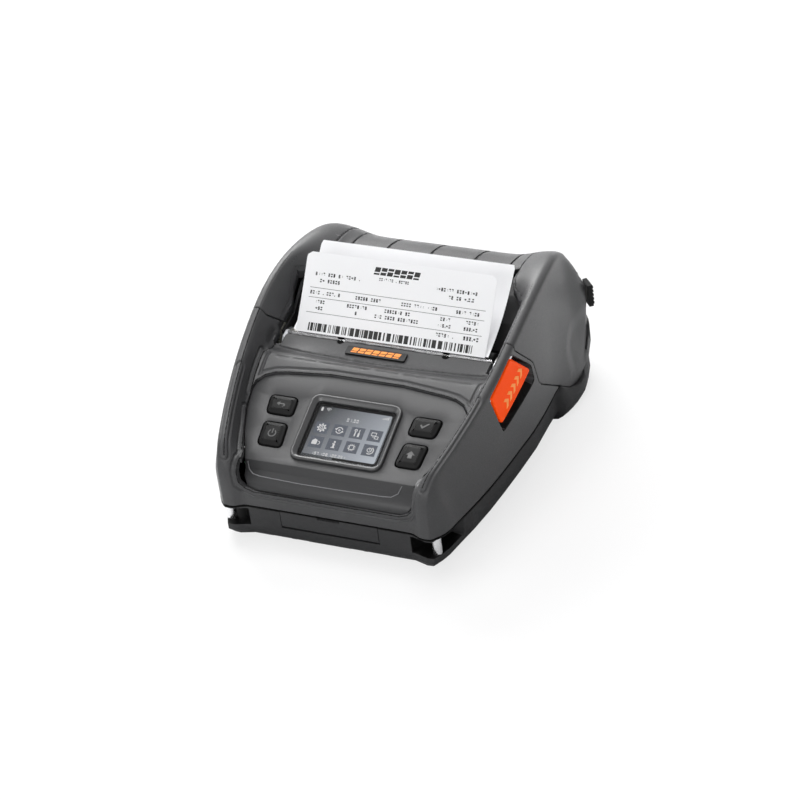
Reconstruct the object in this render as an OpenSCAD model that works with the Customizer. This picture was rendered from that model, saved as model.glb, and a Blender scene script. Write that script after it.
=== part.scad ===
/* [Casing] */
// Height of the seam between the lower housing and the covers
seam_z = 20.5; // [19:0.5:22]
// Distance from the end of the print line out to the widest place of the ridges
side_room = 18.3; // [17.6:0.1:20]
// Distance from the origin back to the widest place
widest_y = 12; // [8:1:16]
// Radius of the bowed sides, seen from above
bow_r = 345; // [330:5:380]
// How far the side walls stand out at the seam
flare = 1.8; // [1:0.1:2.4]
// Wall of the covers and the lower housing
wall = 2.4; // [2.2:0.1:2.6]
// Front of the ridges, ahead of the origin
front_reach = 91.5; // [91:0.5:93]
// Height where the nose of each ridge starts to round
nose_z = 37; // [36:0.5:38]
// Radius of the nose
nose_r = 17.5; // [16.5:0.5:18.5]
// Slope of the ridges beside the control panel
ridge_slope = 18.4; // [18:0.1:19]
// Place behind the origin where the top starts to curve
dome_y = -2; // [-4:1:0]
// Radius of the top
dome_r = 130; // [125:1:135]
// Angle that the top falls before the back starts
tail = 13; // [12:0.5:14]
// Radius of the back
back_r = 41; // [40:0.5:42]
// Half-width of the crest of each ridge
crest_half = 4.5; // [4:0.1:5]
// Gap between neighbouring covers
cover_gap = 0.3; // [0.2:0.05:0.4]
// Bulge of the heel beside the battery
heel = 2.6; // [1:0.1:3.5]
// Height of the heel
heel_z = 12; // [9:0.5:12.5]

/* [Control panel] */
// Slope of the panel
panel_slope = 20; // [19:0.5:21]
// Height of the panel surface at its reference place
panel_z = 44.7; // [44:0.1:45.2]
// Reference place of the panel, ahead of the origin
panel_ref = 72; // [71:0.5:73]
// Thickness of the panel
panel_t = 2.5; // [2:0.1:3]
// Width of the opening over the screen
screen_w = 43.4; // [40:0.2:46]
// Length of the opening over the screen
screen_l = 32.6; // [30:0.2:33.5]
// Middle of the screen, ahead of the origin
screen_at = 56.7; // [56:0.1:57.5]
// Rim round the screen
rim_w = 3.2; // [2.5:0.1:3.8]
// Height of the rim over the panel
rim_h = 1.6; // [1:0.1:2]
// Height of each button over the panel
button_h = 1.7; // [1.4:0.1:2]

/* [Mechanism] */
// Middle of the platen behind the origin
platen_y = 9; // [8.8:0.1:9.5]
// Height of the platen axis
platen_z = 55; // [54:0.1:55.5]
// Radius of the platen rubber
platen_r = 6; // [5.6:0.1:6.2]
// Radius of the platen shaft
shaft_r = 2.5; // [2.2:0.1:2.8]
// Radius of each platen bush
bush_r = 4; // [3.6:0.1:4.2]
// Length of the print line
print_w = 108; // [104:1:109]
// Clearance of a shaft in its hole
running = 0.06; // [0.02:0.01:0.1]
// Tooth module of the feed gears
tooth_m = 0.6; // [0.58:0.01:0.6]
// Width of the feed gears
gear_w = 2.4; // [2:0.1:2.5]
// Diameter of the motor
motor_d = 22; // [18:0.5:22.5]
// Length of the motor
motor_l = 22; // [16:0.5:26]

/* [Media] */
// Width of the labels
media_w = 105; // [95:0.5:106]
// Radius of the label roll
roll_r = 20; // [14:0.5:20]
// Inner radius of the roll core
core_r = 9.5; // [8.5:0.1:10.5]
// Middle of the roll behind the origin
roll_y = 48; // [47:0.5:49]
// Height of the roll axis
roll_z = 49; // [49:0.1:49.6]
// Length of the printed strip over the tear bar
strip_l = 41.5; // [30:0.5:44]
// Length of the liner behind it
liner_l = 52; // [40:0.5:54]

/* [Power and ports] */
// Width of the battery
battery_w = 80; // [70:1:82]
// Length of the battery
battery_l = 64; // [56:1:66]
// Height of the battery
battery_h = 20; // [16:0.5:20.5]
// Width of the port cover
port_w = 53; // [50:0.5:56]
// Height of the port cover
port_h = 10; // [9:0.1:10.4]

/* [Hidden] */
$fn = 48;
// The covers are drawn for this print line, and a longer one moves what is beside it outward
drawn_print_w = 108;
grow = (print_w - drawn_print_w) / 2;
ridge_half = print_w / 2 + side_room;
touch = 0.01;
front_y = -front_reach;
up = 90 + ridge_slope;
fall = 90 - tail;
nose_c = [front_y + nose_r, nose_z];
line_a = nose_c + nose_r * [cos(up), sin(up)];
line_b = [dome_y, line_a.y + (dome_y - line_a.x) * tan(ridge_slope)];
dome_c = line_b - dome_r * [cos(up), sin(up)];
back_c = dome_c + (dome_r - back_r) * [cos(fall), sin(fall)];
rear_y = back_c.x + back_r;
hinge = [rear_y - 1.5, 33.5];
knuckle_r = 3.2;
pin_r = 1.5;

function lerp(a, b, t) = a + (b - a) * t;
function ease(t) = t * t * (3 - 2 * t);
function clamp(v, low, high) = max(low, min(high, v));
function flipped(points) = [for (k = [len(points) - 1:-1:0]) [-points[k].x, points[k].y]];
// A closed outline with its corners rounded over the length r
function rounded(points, r, n = 4) = let(m = len(points)) [
    for (i = [0:m - 1]) let(
        p = points[i],
        a = points[(i + m - 1) % m] - p,
        b = points[(i + 1) % m] - p,
        ra = min(r / norm(a), 0.48),
        rb = min(r / norm(b), 0.48)
    ) for (k = [0:n]) p + pow(1 - k / n, 2) * ra * a + pow(k / n, 2) * rb * b];
// A counter-clockwise outline moved outward by g
function spread(points, g) = let(m = len(points)) [
    for (i = [0:m - 1]) let(d = points[(i + 1) % m] - points[(i + m - 1) % m])
        points[i] + g * [d.y, -d.x] / norm(d)];

// Stations along one ridge from the front foot over the top to the rear foot: place y and z, and the
// direction that the outside faces
nose_n = 5;
dome_n = 9;
back_n = 7;
line_y = [-66, -50, -36, -28.8, -22.8, -16.2, -10.5, -5.2];
stations = concat(
    [[front_y, seam_z, 180], [front_y, lerp(seam_z, nose_z, 0.5), 180]],
    [for (i = [0:nose_n]) let(a = lerp(180, up, i / nose_n))
        [nose_c.x + nose_r * cos(a), nose_c.y + nose_r * sin(a), a]],
    [for (y = line_y) [y, line_a.y + (y - line_a.x) * tan(ridge_slope), up]],
    [for (i = [0:dome_n]) let(a = lerp(up, fall, i / dome_n))
        [dome_c.x + dome_r * cos(a), dome_c.y + dome_r * sin(a), a]],
    [for (i = [1:back_n]) let(a = lerp(fall, 0, i / back_n))
        [back_c.x + back_r * cos(a), back_c.y + back_r * sin(a), a]],
    [[rear_y, lerp(back_c.y, seam_z, 0.5), 0], [rear_y, seam_z, 0]]
);
last = len(stations) - 1;
dome_first = 3 + nose_n + len(line_y);

// Half-width at the ridges for a place along the body
function half_at(y) = ridge_half - bow_r + sqrt(bow_r * bow_r - (y - widest_y) * (y - widest_y));
// Half-width at the seam
function wide_at(y) = half_at(y) + flare * lookup(y, [[front_y, 0.4], [-88, 1.4], [-82, 1.9], [-73, 1.45],
    [-57, 1.25], [-28, 0.7], [-12, 0.6], [5, 0.9], [40, 0.9], [52, 2], [65, 3.9], [80, 5.4], [88, 5.7],
    [94, 4.9], [97.5, 3.7], [rear_y, 1]]);
// How deep the middle lies below the ridges
function sunk(y) = lookup(y, [[front_y, 2.5], [front_y + 6, 6], [-75, 9.5], [-28.8, 8.4], [-22.8, 8.8],
    [-16.2, 13.9], [-10.5, 15.3], [-5.2, 16.2], [20, 16], [31, 12], [41, 5], [55, 4.2], [80, 3.6],
    [rear_y, 1.2]]);
// Distance from the ridge edge to the foot of its inner slope
function foot(y) = lookup(y, [[front_y, 12], [-80, 11], [-64, 9.3], [-40, 8.8], [-20, 10], [-5, 13],
    [30, 13], [41, 20], [55, 25], [80, 27], [rear_y, 24]]);
// Height of the crest over the ridge edge
function crest(y) = lookup(y, [[front_y, 0.4], [-80, 1.8], [60, 2], [rear_y, 0.5]]);
// Where the section of a station meets the seam
function seam_y(i) = lerp(
    lerp(front_y + 10, rear_y - 14, i / last),
    clamp(stations[i].x, front_y + 10, rear_y - 14), 0.5);

// One point of the side wall: e runs from 0 at the ridge edge to 1 at the seam
function side_point(y, z, e, t) = [lerp(half_at(y), wide_at(y), e) - t, y, z];
// Half of one section, from the middle out to the seam and on down to the height low, moved inward by t
function half_section(i, t, low) = let(
    s = stations[i],
    n = [cos(s.z), sin(s.z)],
    p = [s.x, s.y] - t * n,
    d = sunk(s.x),
    b = crest(s.x),
    c = half_at(s.x) - crest_half,
    f = half_at(s.x) - foot(s.x) + t * 0.6,
    r = crest_half - t,
    end = clamp((abs(s.z - 90) - 30) / 50, 0, 1),
    ys = seam_y(i),
    q1 = p - 2.5 * n,
    q2 = p - 6 * n,
    z2 = max(q2.y, seam_z)
) concat(
    [for (k = [0:2]) let(q = p - d * n) [f * k / 3, q.x, q.y]],
    [for (k = [0:4]) let(e = k / 4, q = p + lerp(-d, b, ease(e)) * n) [lerp(f, c, e), q.x, q.y]],
    [for (k = [1:3]) let(q = p + b * cos(k * 30) * n) [c + r * sin(k * 30), q.x, q.y]],
    [side_point(q1.x, max(q1.y, seam_z), lerp(0, 0.8, end), t)],
    [side_point(q2.x, z2, lerp(0.03, 1, end), t)],
    [side_point(lerp(q2.x, ys, 0.3), lerp(z2, seam_z, 0.3), lerp(0.22, 1, end), t)],
    [side_point(lerp(q2.x, ys, 0.65), lerp(z2, seam_z, 0.65), lerp(0.62, 1, end), t)],
    [side_point(ys, seam_z, 1, t)],
    low < seam_z ? [side_point(ys, low, 1, t)] : []
);
function section(i, t, low) = let(h = half_section(i, t, low)) concat(
    [for (k = [len(h) - 1:-1:1]) [-h[k].x, h[k].y, h[k].z]], h);

// Two triangles between neighbouring stations, split along one diagonal or the other
function halves(a, n, other) = other ? [[a, a + n + 1, a + 1], [a, a + n, a + n + 1]]
    : [[a, a + n, a + 1], [a + 1, a + n, a + n + 1]];
function turned_over(faces) = [for (f = faces) [f[0], f[2], f[1]]];
// Closed shell of the casing between two stations
module skin(first, end, low) {
    outer = [for (i = [first:end]) section(i, 0, low)];
    inner = [for (i = [first:end]) section(i, wall, low)];
    n = len(outer[0]);
    m = end - first + 1;
    o = m * n;
    polyhedron(concat([for (r = outer) each r], [for (r = inner) each r]), concat(
        [for (i = [0:m - 2]) for (k = [0:n - 2])
            each halves(i * n + k, n, (k < (n - 1) / 2) == (first + i < last / 2))],
        [for (i = [0:m - 2]) for (k = [0:n - 2])
            each turned_over(halves(o + i * n + k, n, (k < (n - 1) / 2) == (first + i < last / 2)))],
        [for (k = [0:n - 2]) each [[k, k + 1, o + k], [k + 1, o + k + 1, o + k]]],
        [for (k = [0:n - 2]) let(a = (m - 1) * n + k) each [[a, o + a, a + 1], [a + 1, o + a, o + a + 1]]],
        [for (i = [0:m - 2]) let(a = i * n) each [[a, o + a, a + n], [a + n, o + a, o + a + n]]],
        [for (i = [0:m - 2]) let(a = i * n + n - 1)
            each [[a, a + n, o + a], [a + n, o + a + n, o + a]]]
    ), convexity = 8);
}
function middle(points) = let(m = len(points)) [for (i = [0:m - 1]) 1] * points / m;
// A solid through outlines of the same number of points, one over the other
module loft(rows) {
    n = len(rows[0]);
    m = len(rows);
    polyhedron(concat([for (r = rows) each r], [middle(rows[0]), middle(rows[m - 1])]), concat(
        [for (k = [0:n - 1]) [k, (k + 1) % n, m * n]],
        [for (i = [0:m - 2]) for (k = [0:n - 1]) let(a = i * n + k, b = i * n + (k + 1) % n)
            each [[a, a + n, b], [b, a + n, b + n]]],
        [for (k = [0:n - 1]) let(a = (m - 1) * n) [a + (k + 1) % n, a + k, m * n + 1]]
    ), convexity = 6);
}
// A side-view outline of y and z points, drawn across the body between two x places
module across(x0, x1, points) {
    translate([x0, 0, 0]) rotate([90, 0, 90]) linear_extrude(x1 - x0) polygon(points);
}
// A rod along x between two x places
module rod(x0, x1, p, r) {
    translate([x0, p.x, p.y]) rotate([0, 90, 0]) cylinder(r = r, h = x1 - x0);
}
// A straight rod between two points in space
module stick(a, b, r) {
    d = b - a;
    translate(a) rotate([0, acos(d.z / norm(d)), atan2(d.y, d.x)]) cylinder(r = r, h = norm(d));
}
module box(low, high) {
    translate(low) cube(high - low);
}
// The same piece on both sides
module both() {
    children();
    mirror([1, 0, 0]) children();
}
module tower(points, z0, z1) {
    translate([0, 0, z0]) linear_extrude(z1 - z0) polygon(points);
}

// Where the lid parts from the front cover and the lower housing, in the side view
cheek_y = 63;
cheek_z = heel_z - 1.5;
lid_cut = [[-4.6, 100], [-4.6, 79.5], [-4, 76], [11.5, 59.6], [14.5, 56], [18, 42], [21, 38.3],
    [cheek_y - 9, cheek_z + 2.8], [cheek_y - 4, cheek_z + 0.7], [cheek_y, cheek_z],
    [cheek_y + 6, cheek_z + 0.6],
    [cheek_y + 11, cheek_z + 3.4], [rear_y - 16, 27], [rear_y - 9, hinge.y + 3.6], [rear_y + 6, hinge.y + 3.6],
    [rear_y + 6, 100]];
module lid_side(x0, x1) {
    across(x0, x1, spread(lid_cut, cover_gap));
}
lid_first = dome_first - 2;
cover_last = dome_first + 8;

// Points of the right side moved outward as far as the print line's end
function outward(points) = [for (p = points) [p.x + grow, p.y]];
// The lid's opening for the paper, seen from above: right half from the front
mouth_half = outward([[62, -20], [62, 17], [63.8, 24], [63.8, 31.5], [55.5, 41], [53.2, 46.5], [52.6, 57.5]]);
mouth = concat(mouth_half, flipped(mouth_half));
trim_w = 1.2;
slit = 0.1;
flap_half = 44.5;
flap_gap = 0.5;
flap_y = 57.5;
flap_z = 62;
groove_x = 24.6;
groove_w = 0.8;
groove_deep = 0.6;
// How far the roof stands over the ridge edge at x, where the section isn't rounded yet
function rise(x, y) = let(c = half_at(y) - crest_half, f = half_at(y) - foot(y))
    lerp(-sunk(y), crest(y), ease(clamp((abs(x) - f) / (c - f), 0, 1)));
// Groove over the full length of the roof
module roof_groove(x, deep) {
    across(x - groove_w / 2, x + groove_w / 2, concat([[flap_y - 7.5, 100]],
        [for (i = [dome_first + 6:last - 5]) let(s = stations[i])
            [s.x, s.y] + (rise(x, s.x) - deep) * [cos(s.z), sin(s.z)]],
        [[rear_y + 5, 100]]));
}
print_half = print_w / 2;
mech_half = print_half + 7.5;

// Frame of the sloping panel: x, the way up the slope and the height over the panel's surface
module on_panel() {
    translate([0, -panel_ref, panel_z]) rotate([panel_slope, 0, 0]) children();
}
function up_slope(y) = (y + panel_ref) / cos(panel_slope);
function panel_at(y) = panel_z + (y + panel_ref) * tan(panel_slope);
step_y = -79;
panel_half = [[39, -87.6], [43.6, -86.6], [46.2, -83.4], [46.9, -79], [53.2, -64], [57.2, -51], [58.2, -41],
    [57.5, -37], [54.2, -33.2], [49.5, -31], [43.5, -29.9], [20, -27.7]];
panel_outline = concat(panel_half, flipped(panel_half));
step_z = panel_at(step_y);
// Front edge of the panel in the side view, from the top of the step down and back under it
lip = [for (p = [[0.8, 0.3], [0, 0], [-1.3, -4.7], [-3.4, -6.1], [-5.8, -8.1], [-7.6, -10.1], [-8.6, -11.8],
    [-6.7, -12.4], [-5.7, -11.2], [-4.2, -9.7], [-2, -8], [0.6, -6.4], [1.5, -2.2]]) p + [step_y, step_z]];
function lip_z(y) = lookup(y, [for (k = [6:-1:1]) [lip[k].x, lip[k].y]]);
// The front cover's opening round the lip, seen from the front
front_half = concat([for (k = [0:3]) [panel_half[k].x + cover_gap, lip_z(panel_half[k].y) - cover_gap]],
    [[panel_half[3].x + cover_gap, 75]]);
front_opening = concat(front_half, flipped(front_half));
screen_s = up_slope(-screen_at);
window_play = 0.15;
rim_x = screen_w / 2 + rim_w;
rim_y = screen_l / 2 + rim_w;
function frame_box(x, y) = [[x, -y], [x, y], [-x, y], [-x, -y]];
module screen_block(x, y, r, low, high) {
    on_panel() translate([0, screen_s, low]) linear_extrude(high - low) polygon(rounded(frame_box(x, y), r));
}
upper_key = rounded([[31.2, 20.3], [46, 20.3], [47.2, 31.8], [31.7, 31.8]], 3);
lower_key = rounded([[30.5, 1.6], [43.9, 1.6], [44.9, 16], [31.7, 16]], 3);
key_play = 0.3;
key_seats = [[39, 26], [37.8, 8.8]];
board_n = -8.2;
board_t = 1.6;
dome_h = 1;
post_seats = [[40, 36.5], [38, -2.6]];

// Side pocket and release lever in the right ridge
pocket = rounded([[-33.8, 66.9], [-25.6, 42.2], [13, 47.6], [11.4, 57.4], [-8.6, 77]], 1.8, 2);
lever = rounded([[-32.5, 66.3], [-25.8, 47], [9.9, 56], [-9.4, 75.3]], 1.8, 2);
pocket_top = [68 + grow, 74];
pocket_tilt = 9.8;
pan_t = 1.2;
lever_room = 0.8;
lever_axis = [[68.1 + grow, -31, 64.6], [70.1 + grow, -10.5, 72.6]];
// How far the lever pin reaches past the barrel, at its low end and its high end
pin_ends = [3.2, 6];
lever_way = (lever_axis[1] - lever_axis[0]) / norm(lever_axis[1] - lever_axis[0]);
barrel_r = 1.3;
lever_pin_r = 0.8;
module in_pocket() {
    translate([pocket_top.x, 0, pocket_top.y]) rotate([0, pocket_tilt, 0]) translate([0, 0, -pocket_top.y])
        children();
}
// Everything outside the middle of the side wall, for the right side
module outside_wall() {
    tower(concat([for (y = [-42:8:30]) [half_at(y) - 0.4, y]], [[95, 30], [95, -42]]), 20, 90);
}

// Feed mechanism, in the side view
platen = [platen_y, platen_z];
small_teeth = 22;
large_teeth = 36;
pinion_teeth = 12;
platen_teeth = 31;
idler_way = [-12.9, -9.3];
motor_way = [-13.6, -4.7];
idler = platen + tooth_m * (platen_teeth + small_teeth) / 2 * idler_way / norm(idler_way);
motor = idler + tooth_m * (large_teeth + pinion_teeth) / 2 * motor_way / norm(motor_way);
gear_x = print_half + 7.8;
large_x = gear_x + gear_w + 0.3;
large_w = 2;
bracket_x = gear_x + 5.4;
latch = [-2, 37];
latch_r = 2;
latch_x = mech_half - 2.2;
hook_w = 2;
// Round notches where the tear bar clips on, seen from above
notch_seats = [-26.3, 31.9];
notch_r = 1.8;
head_pivot = [-2.8, 42.5];
head_pivot_r = 1.2;
plate_x = print_half + 1.2;
plate_t = 1.5;
bar_y = -10;
spring_z = 55.5;
spring_x = 30;

module gear(teeth, module_size, width) {
    pitch_r = module_size * teeth / 2;
    top = pitch_r + 0.7 * module_size;
    root = pitch_r - 0.95 * module_size;
    step = 360 / teeth;
    linear_extrude(width) polygon([for (i = [0:teeth - 1]) for (p = [[-0.27, root], [-0.12, top], [0.12, top],
        [0.27, root]]) p.y * [cos((i + p.x) * step), sin((i + p.x) * step)]]);
}
// A gear on a shaft along x, its first tooth turned to the angle a in the side view
module gear_on(p, x0, teeth, width, a) {
    translate([x0, p.x, p.y]) rotate([90, 0, 90]) rotate([0, 0, a]) gear(teeth, tooth_m, width);
}
function side_angle(v) = atan2(v.y, v.x);

// Media
core_wall = 2.5;
roll = [roll_y, roll_z];
media_half = media_w / 2;
guide_gap = 0.7;
guide_x = media_half + guide_gap;
guide_t = 2.5;
guide_r = 20.5;
hub_l = 8;
rack_z = 26.3;
rack_h = 2.1;
guide_m = 0.75;
guide_teeth = 16;
guide_pin_r = 1.5;
guide_pitch_r = guide_m * guide_teeth / 2;
leaf_t = 0.25;
leaf_slope = atan2(32.4, 26.6);
leaf_at = [1.6, 64.2];
liner_slope = atan2(26.2, 45.3);
liner_at = [2.4, 64.3];

// Lower housing
base_kx = 0.966;
floor_t = 2.4;
bay_x = mech_half + 0.5;
bay_t = 1.5;
bay_y = 24;
bay_floor = 26;
battery_y = rear_y - battery_l;
contact_y = lerp(bay_y + bay_t, battery_y, 0.43);
battery_z = 3;
play = 0.3;
port_top = seam_z - 0.4;
board_z = 8;
pcb_t = 1.6;
foot_seats = outward([[50, -40], [54, 72]]);
foot_r = 6;
foot_h = 1.3;
screw_seats = outward([[49, -58], [63, 6]]);
board_half = screw_seats[0].x - 5;
pin_seat = [56.2 + grow, -85.4];
strap_pin_r = 2.5;
strap_z = [8.5, 18.6];
strap_pocket = outward([[44, -95], [44, -86], [50.5, -81], [55.5, -68.5], [75, -67], [75, -95]]);
notches = [[-34, -23.5], [-21, -14], [9, 16], [18, 30]];
base_half = concat(
    outward([[45.5, front_y + 2.5], [50, front_y + 1.2], [53, front_y + 0.3], [56.4, front_y + 0.6]]),
    [for (y = [-88.4, -85, -80, -70, -58, -44, -28, -10, 10, 30, 50, 66, 80]) [wide_at(y) * base_kx, y]],
    outward([[70.4, 88], [66, 94], [58, 97.6]]));
base_outline = concat(base_half, flipped(base_half));
// The rear corners draw in towards the bottom
function leaned(p, z) = p - [0, 14 * clamp((abs(p.x) - 45) / 30, 0, 1.1) * clamp(1 - z / 20, 0, 1)
    * clamp((p.y - 42) / 38, 0, 1)];
function layer(points, kx, ky, z) = [for (p = points) let(q = leaned(p, z)) [q.x * kx, q.y * ky, z]];
function heel_outline(bulge) = let(half = concat([[64 + grow, 41]],
    [for (y = [45, 52, 60, 68, 76, 83, 88, 92, 95.5, 98])
        [wide_at(y) + bulge * lookup(y, [[45, 0.6], [52, 1], [76, 1], [92, 0.5], [98, 0.2]]), y]],
    [[half_at(rear_y) - 3, rear_y]])) concat(half, flipped(half));
cavity_half = outward([[38, -86.4], [50, -84], [57, -76], [62, -58], [66, -38], [68.4, -12], [69.6, 15],
    [69.4, 50], [69.4, 73], [66, 83], [58, 91.5]]);
strap_block = outward([[42, -87], [54, -87], [59, -76], [60, -66], [53, -66], [48.6, -79]]);
knuckles = [[6, 18], [34, 46]];
lid_knuckles = [[18.3, 33.7]];
latch_half = 9;
bumper_y = rear_y - 4.5;
bumper_at = [wide_at(bumper_y) + 0.5, bumper_y];
bumper_turn = -48;
bumper_z = 37.6;

module lower_housing() {
    color("#333336") difference() {
        union() {
            difference() {
                union() {
                    loft([layer(base_outline, 0.93, 0.94, 0), layer(base_outline, 0.965, 0.972, 1.6),
                        layer(base_outline, 1, 1, 5), layer(base_outline, 1, 1, seam_z - cover_gap)]);
                    loft([layer(heel_outline(heel), 0.95, 0.96, 0.3),
                        layer(heel_outline(heel), 0.98, 0.985, 1.5),
                        layer(heel_outline(heel), 1, 1, 4), layer(heel_outline(heel), 1, 1, heel_z - 3),
                        layer(heel_outline(0), 1, 1, heel_z + 1), layer(heel_outline(0), 1, 1, 20),
                        layer(heel_outline(0), 1, 1, hinge.y - 3.5)]);
                }
                tower(concat(cavity_half, flipped(cavity_half)), 6, seam_z + 20);
                tower(spread(concat(cavity_half, flipped(cavity_half)), -2.4), floor_t, 6 + touch);
            }
            // Media bay
            both() box([bay_x, bay_y, 1], [bay_x + bay_t, 87, 48]);
            box([-bay_x - bay_t, bay_y, bay_floor - 2], [bay_x + bay_t, rear_y - 4, bay_floor]);
            box([-bay_x - bay_t, bay_y, 1], [bay_x + bay_t, bay_y + bay_t, 40]);
            // Mechanism stands, board posts and screw bosses
            both() box([plate_x - 5.2, -22, 1], [plate_x + 1.8, 20, 24]);
            both() for (y = [-74, -12]) translate([board_half - 4, y, 1]) cylinder(r = 3, h = board_z - 1);
            both() for (p = screw_seats) translate([p.x, p.y, 1]) cylinder(r = 3.4, h = 17);
            both() tower(strap_block, 4, seam_z - cover_gap);
            translate([0, roll.x, bay_floor - 1])
                cylinder(r = guide_pin_r, h = rack_z + rack_h - bay_floor + 1);
            for (k = knuckles) both() {
                rod(k.x, k.y, hinge, knuckle_r);
                box([k.x, hinge.x - 2.4, hinge.y - 5], [k.y, hinge.x + 1.4, hinge.y]);
            }
        }
        both() lid_side(66 + grow, 95);
        rod(-60, 60, hinge, pin_r);
        box([-battery_w / 2 - play, battery_y - play, battery_z - play],
            [battery_w / 2 + play, rear_y + 9, battery_z + battery_h + play]);
        box([-port_w / 2 - play, -95, port_top - port_h - play], [port_w / 2 + play, -80, seam_z + 1]);
        both() tower(strap_pocket, strap_z.x, strap_z.y);
        for (n = notches) box([n.x, -95, -1], [n.y, -80, 2]);
        both() for (p = foot_seats) translate([p.x, p.y, -1]) cylinder(r = foot_r + 0.1, h = foot_h + 1);
        both() for (p = screw_seats) translate([p.x, p.y, -1]) {
            cylinder(r = 3, h = 3.4);
            cylinder(r = 1.45, h = 16);
        }
        box([-latch_half - 3.4, rear_y - 4, battery_z + battery_h + 1.4], [latch_half + 3.4, rear_y + 4, 29]);
    }
}
module front_cover() {
    color("#3f3f43") difference() {
        union() {
            difference() {
                skin(0, cover_last, seam_z);
                in_pocket() across(0, 20, pocket);
            }
            difference() {
                in_pocket() across(-pan_t, 14, spread(pocket, pan_t));
                in_pocket() across(0, 20, pocket);
                outside_wall();
            }
        }
        lid_side(-95, 95);
        box([-mech_half, 0, seam_z - 1], [mech_half, 60, 90]);
        tower(spread(panel_outline, cover_gap), lip[6].y - cover_gap, 75);
        translate([0, -83.4, 0]) rotate([90, 0, 0]) linear_extrude(12) polygon(front_opening);
        both() box([latch_x - 2.4, -8, 50], [latch_x + 1.5, 1, 70]);
        for (x = notch_seats) translate([x, 0, 58]) cylinder(r = notch_r, h = 10);
        stick(lever_axis[0] - pin_ends.x * lever_way, lever_axis[1] + pin_ends.y * lever_way, lever_pin_r);
    }
}

module control_panel() {
    color("#3a3a3e") difference() {
        union() {
            intersection() {
                on_panel() box([-70, up_slope(step_y), -panel_t], [70, 60, 0]);
                tower(panel_outline, 20, 80);
            }
            intersection() {
                across(-70, 70, lip);
                tower(panel_outline, 20, 80);
            }
            on_panel() both() for (p = post_seats) translate([p.x, p.y, board_n + board_t])
                cylinder(r = 2.2, h = -board_n - board_t - 1);
        }
        screen_block(rim_x + slit, rim_y + slit, 6, -6, 5);
        on_panel() both() for (k = [upper_key, lower_key]) translate([0, 0, -5]) linear_extrude(8)
            polygon(spread(k, key_play));
    }
}
module screen_rim() {
    color("#55565a") difference() {
        screen_block(rim_x, rim_y, 6, -panel_t, rim_h);
        screen_block(screen_w / 2, screen_l / 2, 2.5, -6, 5);
    }
}
module screen_window() {
    color("#8894a0", 0.4) screen_block(screen_w / 2 - window_play, screen_l / 2 - window_play, 2.4, -1.4, -0.4);
}
module screen_gasket() {
    color("#1c1c1e") difference() {
        screen_block(screen_w / 2 - window_play, screen_l / 2 - window_play, 2.4, -panel_t, -1.4);
        screen_block(screen_w / 2 - 2, screen_l / 2 - 2, 1, -6, 0);
    }
}
module screen_module() {
    color("#9aa4b0") screen_block(25, 19, 1, board_n + board_t, -panel_t);
}
module key_cap(points, seat) {
    color("#1d1d1f") on_panel() {
        translate([0, 0, -3]) linear_extrude(3 + button_h) polygon(points);
        translate([0, 0, -4.6]) linear_extrude(1.6) polygon(spread(points, 1));
    }
}
module back_button() mirror([1, 0, 0]) key_cap(upper_key);
module power_button() mirror([1, 0, 0]) key_cap(lower_key);
module confirm_button() key_cap(upper_key);
module menu_button() key_cap(lower_key);
module keypad_board() {
    color("#1f5a3a") on_panel() {
        box([-50, -6, board_n], [50, 40, board_n + board_t]);
        both() for (p = key_seats) translate([p.x, p.y, board_n + board_t]) cylinder(r = 3, h = dome_h);
    }
}
badge_at = [-4, -6.2];
badge_slope = 8;
badge_z = 62.75;
module badge_plate() {
    color("#2a2a2c") translate([badge_at.x, badge_at.y, badge_z]) rotate([badge_slope, 0, 0])
        translate([0, 0, -0.5]) linear_extrude(1) polygon(rounded(frame_box(16.5, 2.8), 0.6));
}
module release_lever() {
    color("#f2560f") difference() {
        union() {
            intersection() {
                skin(lid_first - 6, dome_first + 3, seam_z);
                in_pocket() across(lever_room, 20, lever);
            }
            stick(lever_axis[0] + 0.8 * lever_way, lever_axis[1] - 0.8 * lever_way, barrel_r);
        }
        stick(lever_axis[0] - 9 * lever_way, lever_axis[1] + 9 * lever_way, lever_pin_r + running);
    }
}
module lever_pin() {
    color("silver")
        stick(lever_axis[0] - pin_ends.x * lever_way, lever_axis[1] + pin_ends.y * lever_way, lever_pin_r);
}
hook = [[-6, 37], [-4.5, 42], [-4.5, 57], [-1, 61.4], [4, 62.2], [9.5, 60.2], [9.5, 59.4], [4.7, 59.4],
    [3.6, 58], [2.6, 51], [2, 37]];
module latch_shaft() {
    color("#a8a8ac") union() {
        rod(-latch_x, latch_x, latch, latch_r);
        both() {
            across(latch_x - hook_w, latch_x, hook);
            rod(latch_x - hook_w, latch_x, latch, 4);
        }
    }
}
module tear_bar() {
    color("#c8c8cc") difference() {
        across(-print_half - 2.5, print_half + 2.5, [[0.1, 59.5], [1.4, 59.5], [1.8, 60], [1.8, 61.5],
            [0.9, 63.9], [0.4, 63.9], [0.1, 63]]);
        for (x = notch_seats) box([x - notch_r, -1, 63], [x + notch_r, 3, 65]);
    }
}
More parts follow.
